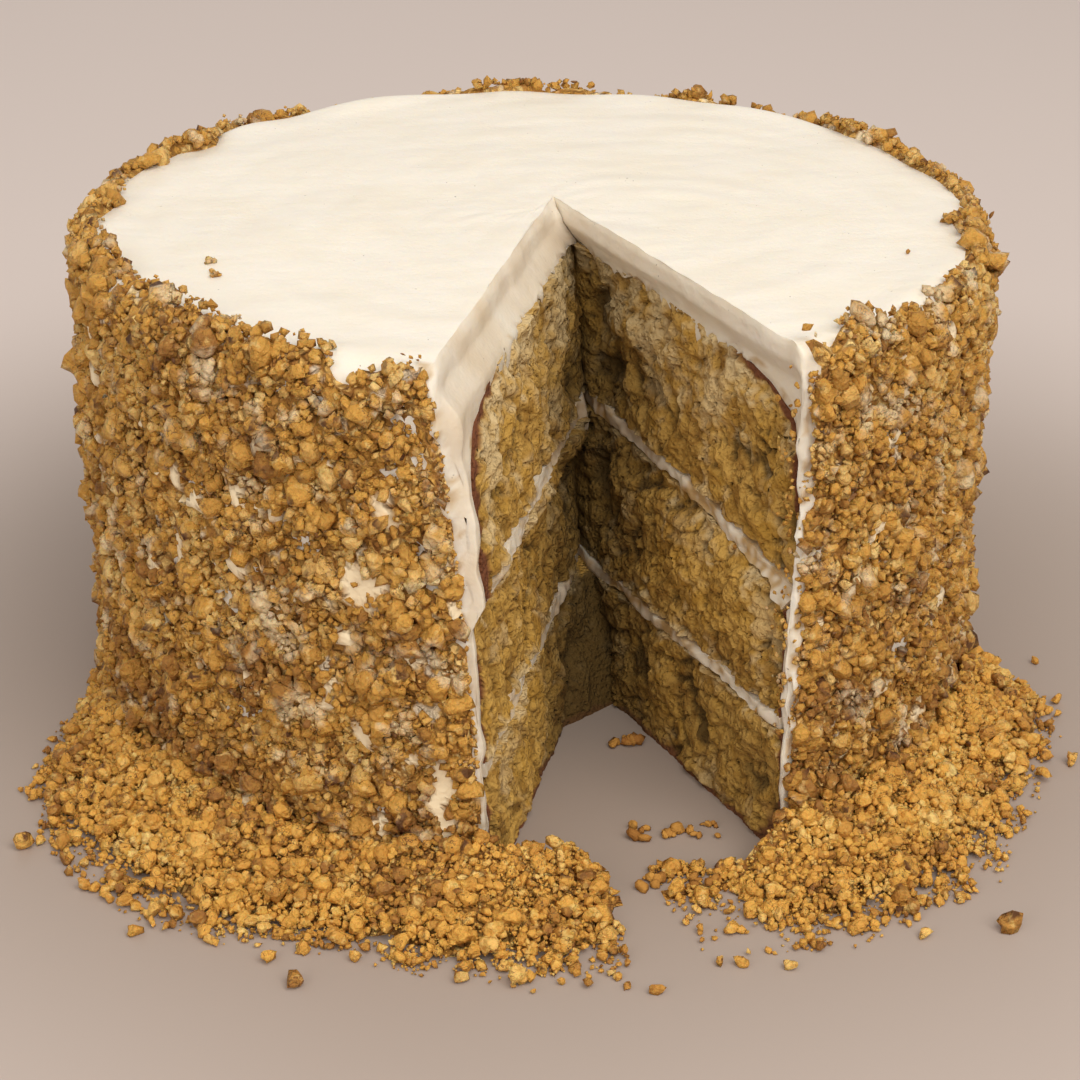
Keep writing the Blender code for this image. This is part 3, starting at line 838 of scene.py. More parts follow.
# How far the nuts reach past the start of the rounded rim, round the cake from the front.
RIM_LAP = [
    (-24, 0.004), (-20, 0.0075), (-17, 0.006), (26, 0.0065), (29, 0.003), (33, 0.008),
    (40, 0.004), (48, 0.0055), (60, 0.0045), (70, 0.0065), (76, 0.0110), (82, 0.0055),
    (100, 0.0065), (114, 0.0085), (120, 0.0080), (128, 0.0030), (143, 0.0025), (149, 0.0055),
    (156, 0.0020), (170, 0.0060), (180, 0.0070), (190, 0.0020), (208, 0.0020), (214, 0.0060),
    (219, 0.0030), (226, 0.0060), (231, 0.0110), (236, 0.0055), (244, 0.0080), (252, 0.0060),
    (262, 0.0095), (268, 0.0060), (296, 0.0085), (310, 0.0090), (318, 0.0060), (329, 0.0075),
    (332, -0.0030), (334, 0.0040), (336, 0.0040),
]

# Places where the cream shows: turn in degrees, height, half width, half height.
BARE_PATCHES = [
    (-25.9, 0.0735, 0.0050, 0.0050), (-53.5, 0.0865, 0.0026, 0.0030),
    (-50.0, 0.0820, 0.0030, 0.0022), (-44.0, 0.0700, 0.0034, 0.0026),
    (-38.5, 0.0130, 0.0034, 0.0022), (-17.4, 0.0280, 0.0045, 0.0070),
    (-16.8, 0.0180, 0.0030, 0.0060), (-29.2, 0.0605, 0.0022, 0.0028),
    (-31.0, 0.0460, 0.0028, 0.0030), (-27.0, 0.0380, 0.0024, 0.0030),
    (-23.5, 0.0900, 0.0020, 0.0036), (52.7, 0.1110, 0.0022, 0.0050),
    (40.0, 0.0990, 0.0020, 0.0060), (33.0, 0.0600, 0.0022, 0.0040),
]


# How wide a margin of cream the nuts leave beside the corners.
RIGHT_MARGIN = 0.0026
RIGHT_MARGINS = [0.0, 0.1, 0.3, 0.7, 0.2, 0.2, 0.9, 1.1, 0.8]
LEFT_MARGIN = 0.0010
MARGIN_WANDER = [(0.0013, 0.0050, 3.0)]


def on_round(turn, radius, height):
    """Points at angles from the front, at a radius from the middle and a height."""
    return np.column_stack([radius * np.sin(turn), -radius * np.cos(turn), height])


def aside(turn, degrees=0.0):
    """The angle between a turn and a direction in degrees, from -pi to pi."""
    return (turn - math.radians(degrees) + math.pi) % (2.0 * math.pi) - math.pi


def rim_lap(turn):
    """How far the nuts reach over the rim at angles from the front."""
    degrees = np.degrees(turn) % 360.0
    around = sorted((angle % 360, reach) for angle, reach in RIM_LAP)
    return np.interp(degrees, *zip(*around), period=360.0)


def bareness(turn, height):
    """1 where the cream shows between the nuts, by its angle and height, and 0 elsewhere."""
    where = on_round(turn, CREAM_RADIUS, height)
    bare = smooth(waves(where, 0.0080, 6.0) + 0.6 * waves(where, 0.0035, 1.0), 1.10, 1.35)
    ragged = 1.15 + 0.6 * waves(where, 0.0032, 4.0)
    for degrees, middle, half_width, half_height in BARE_PATCHES:
        beside = aside(turn, degrees) * CREAM_RADIUS
        far = np.hypot(beside / half_width, (height - middle) / half_height)
        bare = np.maximum(bare, smooth(far * ragged, 1.2, 0.75))
    return bare


def corner_bareness(share, height):
    """1 on the cream that the knife drew along the corners, which no nuts cover."""
    right = RIGHT_MARGIN * np.interp(height, CORNER_HEIGHTS, RIGHT_MARGINS)
    along = np.column_stack([share > 0.5, 0.0 * share, height])
    width = np.where(share < 0.5, right, LEFT_MARGIN) + swells(along, MARGIN_WANDER)
    return smooth(from_corner(share), width + 0.0010, width)


NUT_GOLD = (0.67, 0.350, 0.066)
NUT_PALE = (0.86, 0.59, 0.22)
NUT_TAN = (0.54, 0.270, 0.050)
NUT_BROWN = (0.34, 0.150, 0.031)
NUT_SKIN = (0.130, 0.052, 0.016)
BARE_CREAM = (0.90, 0.75, 0.50)

bed_finish, shader, wire = new_finish("nut_bed", roughness=0.7, specular_ior_level=0.3)
bits = wire.cells(0.0023, out=1)
tint = bits.ramp((0.20, NUT_BROWN), (0.38, NUT_TAN), (0.52, NUT_GOLD), (0.80, NUT_PALE))
# The gaps between the packed bits are painted dark as shade.
tint = (wire.cells(0.0023, "DISTANCE_TO_EDGE").eased(0.12, 0.02) * 0.8).blend(tint, NUT_BROWN)
tint = (wire.grain(0.0065, detail=3.0).eased(0.57, 0.68) * 0.7).blend(tint, CREAM_WARM)
# The crust's low hollows get painted shade.
tint = (wire.value("hollow") * 0.6).blend(tint, NUT_BROWN)
tint = wire.value("bare").blend(tint, BARE_CREAM)
packed = wire.cells(0.0023, "DISTANCE_TO_EDGE").eased(0.0, 0.3)
packed = packed + wire.grain(0.0012, detail=4.0)
feed(
    shader,
    base_color=tint,
    roughness=0.75 - wire.value("bare") * 0.25,
    normal=(packed * (1.0 - wire.value("bare") * 0.93)).bump(0.0011),
)


def coat_depth(where):
    """How thick the pressed nuts lie: ridges and hollows with finer ones on them."""
    return np.maximum(BED_DEPTH + swells(where, BED_SWELLS), -0.0006)


def raised(share, radius, height, bend, depth):
    """Points a depth out of the cream's outside, along its slope."""
    points = place(share, radius + depth * np.cos(bend), height)
    points[:, 2] += depth * np.sin(bend)
    return points


# The slab's length runs up the side here, which turns it inside out, so it is turned back.
mesh, share, along, across = turned_slab("nut_bed", BED_CELLS, BED_STEPS, hole=1.0)
mesh.flip_normals()
share = BED_START + (BED_END - BED_START) * share
side_share = SIDE_HEIGHT / (SIDE_HEIGHT + RIM_ARC)
distance = np.minimum(along / side_share, 1.0) * SIDE_HEIGHT
rough_turn = cake_turn(share, distance)
over_rim = np.clip((along - side_share) / (1.0 - side_share), 0.0, 1.0)
distance = distance + over_rim * np.maximum(rim_lap(rough_turn), SHORTEST_LAP)
radius, height, bend = outside_of_cream(distance)
turn = cake_turn(share, height)
where = on_round(turn, CREAM_RADIUS, height)
bare = bareness(turn, height)
depth = coat_depth(where) + swells(where, BED_GRAIN)
depth = depth * (1.0 - bare) + (BARE_DEPTH + swells(where, BARE_SWELLS)) * bare
# Painted shade in the crust's low hollows, where no cream is bare.
hollow = smooth(depth, 0.0012, -0.0006) * (1.0 - bare)
lap_end = smooth(over_rim, 1.0, 0.75)
ends = corner_bareness(share, height)
depth = depth * lap_end * (1.0 - ends) - 0.0006 * np.maximum(1.0 - lap_end, ends)
depth = np.where(across > 0.5, depth, -BED_UNDER) + corner_swell(share, height) * (1.0 - ends)
points = raised(share, radius, height, bend, depth)
add_piece(
    "nut_bed", mesh, points, bed_finish, "chopped_nuts", ["nut_coat"], hollow=hollow, bare=bare
)

# ------------------------------------------------------------------- nuts on the side
# Chopped walnuts of every size, pressed into the cream by hand: broken chunks, smaller
# pieces, crumbs, and flakes of their dark skin. Each kind is one mesh of a few shapes, each
# of which is a ball that is wrinkled, broken flat on several sides and repeated.

draw = np.random.default_rng(41)
ROUND_ANGLE = math.radians(115)
LOWEST = 0.0001
LONGEST_LAP = 0.012
CLUMPING = 0.8
CLUMP_PITCH = 0.0062


def ball(form, faces):
    """A ball of so many triangles, to break and wrinkle into a bit of nut."""
    if faces == 48:
        bmesh.ops.create_uvsphere(form, u_segments=8, v_segments=4, radius=0.5)
    elif faces == 20:
        bmesh.ops.create_icosphere(form, subdivisions=1, radius=0.5)
    elif faces == 12:
        bmesh.ops.create_cube(form, size=0.75)
    else:
        bmesh.ops.create_uvsphere(form, u_segments=4, v_segments=2, radius=0.5)
    bmesh.ops.triangulate(form, faces=form.faces)


def broken_shapes(kinds, faces, seed, flat=0.8, wrinkle=0.3, jitter=0.10, breaks=4):
    """A few broken bits with the same faces: their points, and the faces they share."""
    shapes = []
    chance = np.random.default_rng(seed)
    for kind in range(kinds):
        form = bmesh.new()
        ball(form, faces)
        points = np.array([vert.co for vert in form.verts])
        corners = np.array([[vert.index for vert in face.verts] for face in form.faces])
        form.free()
        points *= 1.0 + wrinkle * waves(points, 0.45, seed + 5.0 * kind)[:, None]
        points += jitter * chance.normal(size=points.shape)
        for _ in range(breaks):
            toward = chance.normal(size=3)
            toward /= np.linalg.norm(toward)
            over = np.maximum(points @ toward - chance.uniform(0.18, 0.36), 0.0)
            points -= np.outer(over, toward)
        points *= (1.0, chance.uniform(0.62, 0.95), chance.uniform(0.8, 1.0) * flat)
        shapes.append(points / np.abs(points).max() / 2.0)
    return np.array(shapes), corners


def lying(normals, tilt):
    """Frames whose third axis leans a little from each normal, turned at random about it."""
    up = normals + tilt * draw.normal(size=normals.shape)
    up /= np.linalg.norm(up, axis=1)[:, None]
    side = np.cross(up, draw.normal(size=up.shape))
    side /= np.linalg.norm(side, axis=1)[:, None]
    return np.stack([side, np.cross(up, side), up], axis=2)


def upward(count):
    return np.tile((0.0, 0.0, 1.0), (count, 1))


# Places where the nuts are painted dark as shade in deep crevices, and where more dark skins lie:
# degrees, height, half size.
DARK_SPOTS = [
    (-52.3, 0.1150, 0.0050), (-38.3, 0.1010, 0.0060), (-27.2, 0.1000, 0.0040),
    (-17.4, 0.0970, 0.0030), (-42.3, 0.0450, 0.0080), (-20.0, 0.0580, 0.0055),
    (-61.0, 0.0250, 0.0100), (33.4, 0.0360, 0.0060), (45.0, 0.0560, 0.0060),
    (70.0, 0.0800, 0.0060), (128.0, 0.0700, 0.0070), (182.0, 0.0950, 0.0060),
    (204.0, 0.0400, 0.0080), (246.0, 0.0850, 0.0070),
]
FOOT_SHADE = 0.018


def shade_and_skins(places):
    """0 to 1: painted shade on the side's bits in a band over the foot and in dark spots, where
    more dark skins lie too.
    """
    turn = np.arctan2(places[:, 0], -places[:, 1])
    at = np.column_stack([turn * CREAM_RADIUS, 0.0 * turn, places[:, 2]])
    ragged = 1.0 + 0.5 * waves(at, 0.0050, 23.0)
    dark = 0.55 * smooth(np.abs(places[:, 2] - FOOT_SHADE) * ragged, 0.0060, 0.0010)
    for degrees, height, half_size in DARK_SPOTS:
        beside = aside(turn, degrees) * CREAM_RADIUS
        far = np.hypot(beside, places[:, 2] - height) / half_size
        dark = np.maximum(dark, 0.8 * smooth(far * ragged, 1.3, 0.4))
    return dark * (np.hypot(places[:, 0], places[:, 1]) < CREAM_RADIUS + 0.0060)


def scatter(name, bits, places, frames, sizes, finish, slot, nodes, skin=0.20):
    """Joins one bit for each place into a single mesh, each with its own tone and skin."""
    shapes, faces = bits
    kinds = draw.integers(len(shapes), size=len(places))
    local = shapes[kinds]
    points = np.einsum("nij,nvj->nvi", frames, local * sizes[:, None, None]) + places[:, None]
    points[:, :, 2] = np.maximum(points[:, :, 2], LOWEST)
    count = local.shape[1]
    corners = (faces[None] + count * np.arange(len(places))[:, None, None]).reshape(-1, 3)
    mesh = bpy.data.meshes.new(name)
    mesh.from_pydata(points.reshape(-1, 3), [], corners)
    dark = shade_and_skins(places)
    tone = 0.66 * draw.uniform(size=len(places)) + 0.17 + 0.26 * waves(places, 0.014, 31.0)
    # The bits are painted darker as shade in the marked crevices and spots, and lower down the
    # side, where less light falls.
    tone -= 0.55 * dark + 0.10 * smooth(places[:, 2], 0.085, 0.030)
    tone = np.repeat(np.clip(tone, 0.0, 1.0), count)
    skinned = draw.uniform(size=len(places)) < skin + 0.5 * dark
    edge = smooth(local[:, :, 2], 0.16, 0.30) * skinned[:, None]
    add_piece(
        name, mesh, points.reshape(-1, 3), finish, slot, nodes, sharp=ROUND_ANGLE, tone=tone,
        skin=edge.ravel(),
    )


def nut_finish(name, brown, tan, gold, pale, creamed):
    """Broken walnut: waxy crumbly flesh, each bit of its own tone, with dark papery skin."""
    finish, shader, wire = new_finish(
        name,
        roughness=0.60,
        specular_ior_level=0.3,
        subsurface_weight=0.12,
        subsurface_scale=0.0015,
    )
    stops = [(0.0, brown), (0.22, tan), (0.48, gold), (0.66, gold), (1.0, pale)]
    tint = wire.value("tone").ramp(*stops)
    tint = (wire.grain(0.0017, detail=3.0).eased(0.42, 0.66) * 0.5).blend(tint, tan)
    tint = (wire.grain(0.0031, detail=3.0).eased(0.56, 0.68) * 0.55).blend(tint, pale)
    seams = (wire.grain(0.0042, detail=3.0, roughness=0.6) - 0.5).magnitude().eased(0.014, 0.003)
    seams = seams * wire.grain(0.0090).eased(0.48, 0.56)
    tint = (seams * 0.85).blend(tint, NUT_SKIN)
    papery = wire.grain(0.0026, detail=3.0).eased(0.44, 0.56)
    tint = (wire.value("skin") * papery).blend(tint, NUT_SKIN)
    tint = (wire.grain(0.0090, detail=3.0).eased(0.54, 0.70) * creamed).blend(tint, BARE_CREAM)
    crumbly = wire.grain(0.0013, detail=4.0, roughness=0.65) + wire.cells(0.0015) * 0.7
    feed(shader, base_color=tint, normal=crumbly.bump(0.0013))
    return finish


def bed_surface(share, distance):
    """Where the side's crust lies: points, normals out of it, heights and angles."""
    radius, height, bend = outside_of_cream(distance)
    turn = cake_turn(share, height)
    where = on_round(turn, CREAM_RADIUS, height)
    depth = coat_depth(where) + corner_swell(share, height)
    points = raised(share, radius, height, bend, depth)
    return points, on_round(turn, np.cos(bend), np.sin(bend)), turn, height


def strewn_on_side(wanted, over):
    """Random places on the side and over the rim, fewer where the cream shows."""
    found = []
    total = 0
    while total < wanted:
        share = draw.uniform(0.0, 1.0, wanted)
        distance = draw.uniform(0.0, SIDE_HEIGHT + LONGEST_LAP, wanted)
        points, normals, turn, height = bed_surface(share, distance)
        inside = distance < SIDE_HEIGHT + rim_lap(turn) + over
        density = 1.0 + CLUMPING * waves(points, CLUMP_PITCH, 12.0)
        density *= 1.0 - 0.86 * bareness(turn, height)
        density *= 1.0 - 0.96 * corner_bareness(share, height)
        keep = inside & (draw.uniform(0.0, 1.0 + CLUMPING, wanted) < density)
        found.append((share[keep], distance[keep]))
        total += keep.sum()
    share, distance = (np.concatenate(part)[:wanted] for part in zip(*found))
    return share, distance


coat_finish = nut_finish("chopped_nuts", NUT_BROWN, NUT_TAN, NUT_GOLD, NUT_PALE, 0.6)
skin_finish, shader, wire = new_finish("nut_skin", roughness=0.55, specular_ior_level=0.4)
tint = wire.value("tone").ramp((0.0, NUT_SKIN), (1.0, NUT_BROWN))
feed(shader, base_color=tint, normal=wire.grain(0.0010, detail=4.0).bump(0.0005))

chunks = broken_shapes(18, 48, 3, wrinkle=0.42, jitter=0.02, breaks=2)
pieces = broken_shapes(16, 20, 29, jitter=0.07, breaks=2)
crumbs = broken_shapes(16, 12, 71, jitter=0.06, breaks=1)
grains = broken_shapes(12, 8, 83, breaks=0)
flakes = broken_shapes(8, 20, 57, flat=0.28, wrinkle=0.4)

# Name, how many, shapes, sizes, how far they stand out, how they tilt, finish.
COAT_KINDS = [
    ("nut_chunks", 3300, chunks, (0.0036, 0.0076), 0.14, 0.45, coat_finish),
    ("nut_pieces", 9700, pieces, (0.0024, 0.0044), 0.22, 0.7, coat_finish),
    ("nut_crumbs", 16400, crumbs, (0.0015, 0.0029), 0.40, 1.0, coat_finish),
    ("nut_grains", 15500, grains, (0.0009, 0.0018), 0.80, 1.0, coat_finish),
    ("nut_skins", 1000, flakes, (0.0010, 0.0026), 0.60, 0.9, skin_finish),
]
for name, count, bits, (small, large), lift, tilt, finish in COAT_KINDS:
    share, distance = strewn_on_side(count, over=0.0012 - small / 2.0)
    points, normals, turn, height = bed_surface(share, distance)
    sizes = small + (large - small) * draw.uniform(size=count) ** 1.9
    rise = sizes * lift * draw.uniform(0.2, 1.5, count)
    places = points + normals * rise[:, None]
    frames = lying(normals, tilt)
    scatter(name, bits, places, frames, sizes, finish, "chopped_nuts", ["nut_coat"])

# --------------------------------------------------------------- loose bits on the top
# A few bits of nut that landed on the cream, and small ones along the slice's corners. They
# are the same broken shapes, laid on the cream.

# Degrees from the front, radius and how many.
TOP_BITS = [(-69.5, 0.0800, 7), (-65.0, 0.0815, 5), (77.0, 0.0960, 8), (63.0, 0.0900, 1)]
places, sizes = [], []
for degrees, radius, count in TOP_BITS:
    for _ in range(count):
        turn = math.radians(degrees) + draw.normal(0.0, 0.022)
        away = radius + draw.normal(0.0, 0.0012)
        places.append((away * math.sin(turn), -away * math.cos(turn), CAKE_TOP + 0.0006))
        sizes.append(draw.uniform(0.0010, 0.0024))
frames = lying(upward(len(places)), 0.4)
scatter(
    "bits_on_top", pieces, np.array(places), frames, np.array(sizes), coat_finish,
    "chopped_nuts", [], skin=0.4,
)

# Small bits that the knife dragged over the cream of the corners: on the right cut, and on
# the side next to the right and left cuts.
CORNER_BITS = 90
SIDE_BITS = 520
height = draw.uniform(0.030, 0.117, CORNER_BITS)
away = CREAM_RADIUS - 0.0006 - draw.exponential(0.0022, CORNER_BITS)
on_cut = place(np.zeros(CORNER_BITS), away, height)
normals = out_of_cut(np.zeros(CORNER_BITS))
around = draw.exponential(0.0026, SIDE_BITS) + 0.0008
share = around / (CREAM_RADIUS * SWEEP)
share = np.where(draw.uniform(size=SIDE_BITS) < 0.6, share, 1.0 - 0.6 * share)
height = draw.uniform(0.014, SIDE_HEIGHT, SIDE_BITS)
on_side, side_normals, turn, height = bed_surface(share, height)
places = np.concatenate([on_cut + normals * 0.0004, on_side - side_normals * 0.0006])
normals = np.concatenate([normals, side_normals])
sizes = draw.uniform(0.0006, 0.0021, len(places))
frames = lying(normals, 0.4)
scatter("bits_on_corners", pieces, places, frames, sizes, coat_finish, "chopped_nuts", [])

# ------------------------------------------------------------------------- fallen nuts
# Nuts that fell off while the side was coated, banked against the foot of the cake. A low
# lumpy heap of the finest ones carries the larger ones, which thin out over the floor, and
# a tongue of them runs into the mouth of the slice.

DRIFT_CREST = 0.0140
DRIFT_FULL_REACH = 0.0240
DRIFT_LOWEST = 0.28
DRIFT_SHARES = [0.0, 0.33, 0.67, 1.0]
DRIFT_FALL = [1.0, 0.55, 0.22, 0.05]
DRIFT_CELLS = (26, 2)
DRIFT_STEPS = 330
CORE_SHARE = 0.62
CREST_RADIUS = 0.1068
HEAP_SUNK = 0.0014
HEAP_SWELLS = [(0.0008, 0.0040, 2.0), (0.0006, 0.0095, 3.0)]
TOE_SWELLS = [(0.0024, 0.0060, 7.0)]
BREAK_SWELLS = [(0.045, 0.0110, 14.0)]
WALL_RADIUS = 0.0072 / 2.0 + CREAM_RADIUS
MOUTH_TURNS = [math.radians(turn) for turn in (-12.5, -6.5, 0.0, 13.0, 19.5, 25.5)]
MOUTH_REACH = [0.0, 0.002, 0.013, 0.009, 0.001, 0.0]
MOUTH_CREST = [1.0, 0.75, 0.55, 0.35, 0.40, 1.0]
BREAK_START = math.radians(3.2)
BREAK_END = math.radians(8.2)
SPARSE_END = math.radians(17.0)

# How far the nuts lie out from the coat: degrees from the front, and millimetres.
DRIFT_REACHES = [
    (-180, 7.0), (-150, 5.5), (-120, 6.0), (-97, 4.0), (-90, 5.0), (-84, 11.0), (-77, 18.0),
    (-70, 26.0), (-60, 31.5), (-50, 33.5), (-40, 33.5), (-32, 30.5), (-25, 24.5), (-16, 27.5),
    (0, 29.0), (14, 28.5), (22, 32.5), (30, 34.0), (40, 33.0), (53, 26.5), (62, 23.5),
    (71, 24.5), (77, 19.0), (81, 11.0), (86, 6.0), (95, 4.5), (120, 6.0), (150, 5.5), (180, 7.0),
]
DRIFT_LONGEST = 0.034


def drift_reach(turn):
    """How far the nuts lie out from the coat at angles from the front, in metres."""
    return np.interp(np.degrees(aside(turn)), *zip(*DRIFT_REACHES)) / 1000.0


def drift_shape(turn, share):
    """Radius and height of the heap's surface at a share of the way from wall to toe."""
    spot = np.column_stack([np.sin(turn), np.cos(turn), 0.0 * turn]) * CREST_RADIUS
    reach = drift_reach(turn)
    crest = DRIFT_CREST * np.clip(reach / DRIFT_FULL_REACH, DRIFT_LOWEST, 1.0)
    crest = crest * (1.0 + 0.22 * waves(spot + (0, 0, 0.7), 0.030))
    crest = crest * np.interp(aside(turn), MOUTH_TURNS, MOUTH_CREST)
    wall = WALL_RADIUS - np.interp(aside(turn), MOUTH_TURNS, MOUTH_REACH)
    reach = reach + 0.0015 * waves(spot + (0, 0, 0.9), 0.038)
    radius = wall + (WALL_RADIUS + reach - wall) * share
    return radius, crest * np.interp(share, DRIFT_SHARES, DRIFT_FALL)


def fullness(turn, where):
    """1 where the heap is whole, and 0 in its ragged break and where only a few nuts lie."""
    end = BREAK_START + 2.0 * math.pi - 0.02 + swells(where, BREAK_SWELLS)
    return smooth(turn, SPARSE_END, SPARSE_END + 0.05) * smooth(end - turn, 0.0, 0.06)


heap_finish, shader, wire = new_finish("nut_heap", roughness=0.75, specular_ior_level=0.3)
HEAP_BROWN = (0.34, 0.150, 0.034)
HEAP_TAN = (0.65, 0.320, 0.058)
HEAP_GOLD = (0.81, 0.430, 0.082)
HEAP_PALE = (0.93, 0.65, 0.22)
tint = wire.cells(0.0021, out=1).ramp(
    (0.25, HEAP_BROWN), (0.42, HEAP_TAN), (0.55, HEAP_GOLD), (0.80, HEAP_PALE)
)
# The gaps between the packed bits are painted dark as shade, and so are the heap's low hollows.
tint = wire.cells(0.0021, "DISTANCE_TO_EDGE").eased(0.12, 0.02).blend(tint, HEAP_BROWN)
tint = (wire.value("hollow") * 0.7).blend(tint, HEAP_BROWN)
packed = wire.cells(0.0021, "DISTANCE_TO_EDGE").eased(0.0, 0.3)
feed(shader, base_color=tint, normal=(packed + wire.grain(0.0011, detail=4.0)).bump(0.0011))

sweep = 2.0 * math.pi - (BREAK_END - BREAK_START)
mesh, turn, out, up = turned_slab("nut_heap", DRIFT_CELLS, DRIFT_STEPS, sweep, hole=1.0)
turn = BREAK_END + turn * sweep
radius, height = drift_shape(turn, out * CORE_SHARE)
where = on_round(turn, radius, 0.0 * turn)
rough = swells(where, HEAP_SWELLS)
whole = fullness(turn, where)
height = (height - HEAP_SUNK + rough) * smooth(out, 1.0, 0.75) * whole
height = np.maximum(height, LOWEST)
# Painted shade in the heap's low hollows.
hollow = smooth(rough, 0.0004, -0.0008)
ragged = swells(where, TOE_SWELLS) * smooth(out, 0.5, 1.0)
radius = WALL_RADIUS + (radius + ragged - WALL_RADIUS) * (0.15 + 0.85 * whole)
points = on_round(turn, radius, height * up)
add_piece("nut_heap", mesh, points, heap_finish, "fallen_nuts", ["nut_drift"], hollow=hollow)

fallen_finish = nut_finish("fallen_nuts", HEAP_BROWN, HEAP_TAN, HEAP_GOLD, HEAP_PALE, 0.0)

# Name, how many, shapes, sizes and how they tilt.
FALLEN_KINDS = [
    ("fallen_chunks", 1000, chunks, (0.0027, 0.0054), 0.8),
    ("fallen_pieces", 6400, pieces, (0.0016, 0.0032), 0.9),
    ("fallen_grains", 13000, grains, (0.0007, 0.0018), 1.2),
]
for name, count, bits, (small, large), tilt in FALLEN_KINDS:
    tries = count * 7
    turn = draw.uniform(BREAK_END, BREAK_START + 2.0 * math.pi, tries)
    share = draw.uniform(0.0, 1.14, tries)
    radius, height = drift_shape(turn, share)
    where = on_round(turn, radius, 0.0 * turn)
    patchy = 0.9 * waves(where, 0.0075, 4.0) * smooth(share, 0.4, 0.9)
    crowd = smooth(share, 1.09, 0.48) * (1.0 + patchy)
    crowd *= drift_reach(turn) / DRIFT_LONGEST
    end = BREAK_START + 2.0 * math.pi - 0.01 + swells(where, BREAK_SWELLS)
    crowd *= smooth(end - turn, 0.0, 0.045)
    sparse = smooth(turn, SPARSE_END, SPARSE_END - 0.03)
    crowd *= 1.0 - 0.88 * sparse * (share > 0.12)
    keep = np.flatnonzero(draw.uniform(size=tries) < 0.75 * crowd)[:count]
    turn, share, radius, height, where = (v[keep] for v in (turn, share, radius, height, where))
    sizes = small + (large - small) * draw.uniform(size=len(keep)) ** 1.6
    height = height * smooth(share, 0.95, 0.60) * fullness(turn, where) - 0.0012
    height += 0.0008 * waves(where, 0.0040, 2.0) * smooth(share, 0.9, 0.5)
    height = np.maximum(height, 0.0) + sizes * draw.uniform(0.25, 0.60, len(keep))
    places = np.column_stack([where[:, :2], height])
    frames = lying(upward(len(keep)), tilt)
    scatter(
        name, bits, places, frames, sizes, fallen_finish, "fallen_nuts", ["nut_drift"], skin=0.10
    )

# Single nuts that rolled further out: degrees from the front, radius and size.
STRAY_NUTS = [
    (-26.7, 0.1445, 0.0048), (-30.5, 0.1388, 0.0046), (-60.6, 0.1420, 0.0060),
    (-51.1, 0.1403, 0.0040), (-42.5, 0.1450, 0.0036), (-36.3, 0.1391, 0.0034),
    (3.3, 0.1412, 0.0042), (11.5, 0.1364, 0.0042), (15.2, 0.1408, 0.0034),
    (34.0, 0.1540, 0.0062), (27.8, 0.1450, 0.0034), (0.9, 0.1385, 0.0024),
    (9.8, 0.1343, 0.0030), (74.3, 0.1310, 0.0038), (83.2, 0.1277, 0.0026), (62.1, 0.1365, 0.0040),
]
degrees, radius, sizes = (np.array(column) for column in zip(*STRAY_NUTS))
turn = np.radians(degrees)
places = on_round(turn, radius, sizes * 0.32)
frames = lying(upward(len(sizes)), 0.3)
scatter("stray_nuts", chunks, places, frames, sizes, fallen_finish, "fallen_nuts", [])

# ------------------------------------------------------------------------- cake crumbs
# Crumbs of the cake itself, torn off with the slice and left on the floor of the gap. Small
# groups of broken shapes lie where the slice was dragged out.

# Degrees from the front, radius, spread, how many, and their size.
CRUMB_SPOTS = [
    (23.6, 0.0455, 0.0016, 10, 0.0030), (11.4, 0.0832, 0.0018, 9, 0.0030),
    (16.5, 0.0857, 0.0020, 12, 0.0026), (20.5, 0.0855, 0.0012, 4, 0.0020),
    (8.5, 0.1025, 0.0015, 8, 0.0028), (12.8, 0.1065, 0.0022, 12, 0.0024),
]
LOOSE_DARK = (0.30, 0.12, 0.025)
LOOSE_PALE = (0.62, 0.32, 0.065)
loose_finish, shader, wire = new_finish("loose_crumbs", roughness=0.85, specular_ior_level=0.25)
tint = wire.value("tone").ramp((0.0, LOOSE_DARK), (1.0, LOOSE_PALE))
feed(shader, base_color=tint, normal=wire.grain(0.0010, detail=4.0).bump(0.0007))
places, sizes = [], []
for degrees, radius, spread, count, size in CRUMB_SPOTS:
    for _ in range(count):
        x = radius * math.sin(math.radians(degrees)) + draw.normal(0.0, spread * 1.4)
        y = -radius * math.cos(math.radians(degrees)) + draw.normal(0.0, spread * 0.7)
        sizes.append(size * draw.uniform(0.5, 1.3))
        places.append((x, y, sizes[-1] * 0.35))
frames = lying(upward(len(places)), 0.8)
scatter(
    "loose_crumbs", chunks, np.array(places), frames, np.array(sizes), loose_finish,
    "banana_crumb", [], skin=0.0,
)
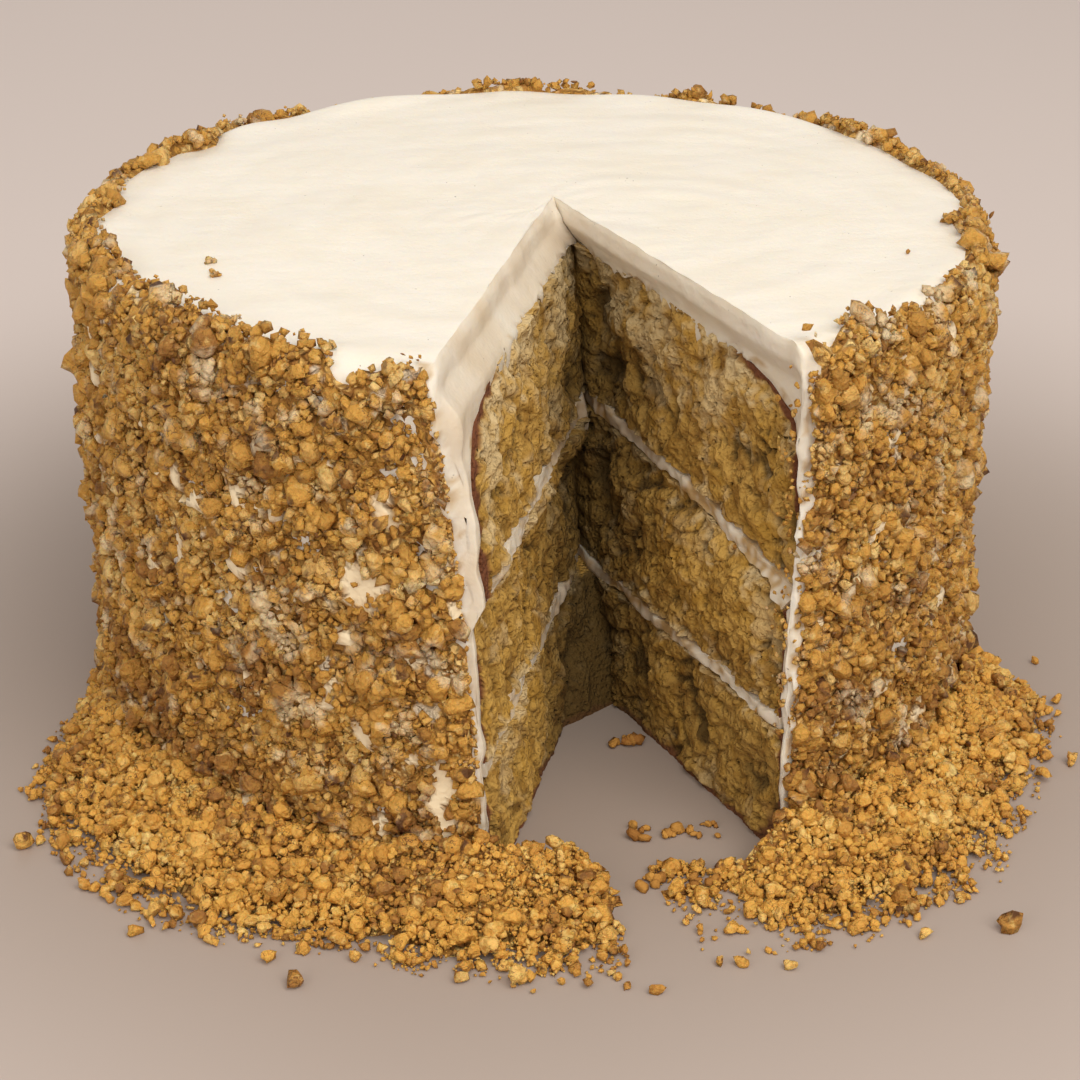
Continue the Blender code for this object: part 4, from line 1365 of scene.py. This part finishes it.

# --------------------------------------------------------------------- floor and light
# A plain pale floor, painted darker near the cake and in front, where the lamps light it most, and
# paler further off and behind, where less of their light reaches and the cake's shadow falls; a
# wide soft lamp high in front on the right, a weaker one on the left and a faint one behind.

FLOOR_SIZE = 15.0
FLOOR_NEAR = (0.36, 0.292, 0.245)
FLOOR_FAR = (0.69, 0.598, 0.545)
floor_finish, shader, wire = new_finish("floor", roughness=0.6, specular_ior_level=0.25)
where = wire.node("ShaderNodeTexCoord", out=3)
away = wire.node("ShaderNodeVectorMath", {"operation": "LENGTH"}, {0: where}, out=1)
away = away + wire.grain(0.4) * 0.1
behind = wire.node("ShaderNodeSeparateXYZ", None, {0: where}, out=1)
# Painted light: paler further off and behind the cake, to make up for less lamp light there.
paler = away.eased(0.15, 0.38) * behind.eased(-0.45, -0.05)
feed(shader, base_color=paler.blend(FLOOR_NEAR, FLOOR_FAR))
form = bmesh.new()
bmesh.ops.create_grid(form, x_segments=1, y_segments=1, size=FLOOR_SIZE)
mesh = bpy.data.meshes.new("floor")
form.to_mesh(mesh)
form.free()
mesh.materials.append(floor_finish)
floor = bpy.data.objects.new("floor", mesh)
bpy.context.scene.collection.objects.link(floor)
floor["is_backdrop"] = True

ROOM_COLOUR = (1.0, 0.95, 0.92, 1.0)
ROOM_STRENGTH = 0.52
world = bpy.data.worlds.new("room")
world.use_nodes = True
background = world.node_tree.nodes["Background"]
background.inputs["Color"].default_value = ROOM_COLOUR
background.inputs["Strength"].default_value = ROOM_STRENGTH
bpy.context.scene.world = world
bpy.context.scene.view_settings.view_transform = "Standard"


def look(holder, aim):
    """Turns a lamp or the camera towards a point."""
    holder.rotation_euler = (aim - holder.location).to_track_quat("-Z", "Y").to_euler()


# Name, place, width, watts and colour. All are aimed at the middle of the cake.
LAMP_AIM = Vector((0.0, 0.0, 0.06))
LAMPS = [
    ("key_lamp", (0.30, -0.88, 1.12), 1.2, 16.8, (1.0, 0.965, 0.92)),
    ("fill_lamp", (-0.9, -1.1, 0.7), 0.8, 4.5, (1.0, 0.96, 0.92)),
    ("back_lamp", (-0.2, 1.10, 1.00), 1.0, 1.6, (1.0, 0.96, 0.92)),
]
for name, place_at, size, power, colour in LAMPS:
    lamp = bpy.data.lights.new(name, "AREA")
    lamp.size = size
    lamp.energy = power
    lamp.color = colour
    holder = bpy.data.objects.new(name, lamp)
    holder.location = place_at
    look(holder, LAMP_AIM)
    bpy.context.scene.collection.objects.link(holder)

EYE = Vector((-0.0668, -0.5487, 0.3051))
AIM = Vector((0.0016, -0.0002, 0.0354))
FOCAL_LENGTH = 82.55
lens = bpy.data.cameras.new("camera")
lens.lens = FOCAL_LENGTH
lens.sensor_width = 36.0
lens.clip_start = 0.01
camera = bpy.data.objects.new("camera", lens)
camera.location = EYE
look(camera, AIM)
bpy.context.scene.collection.objects.link(camera)
bpy.context.scene.camera = camera

# ---------------------------------------------------------------------------- the size
# The solids' box and the finished cake's box, in metres.

sizes = {
    "cad": [list(corner) for corner in cad_bounds],
    "visual": [list(corner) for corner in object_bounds()],
}
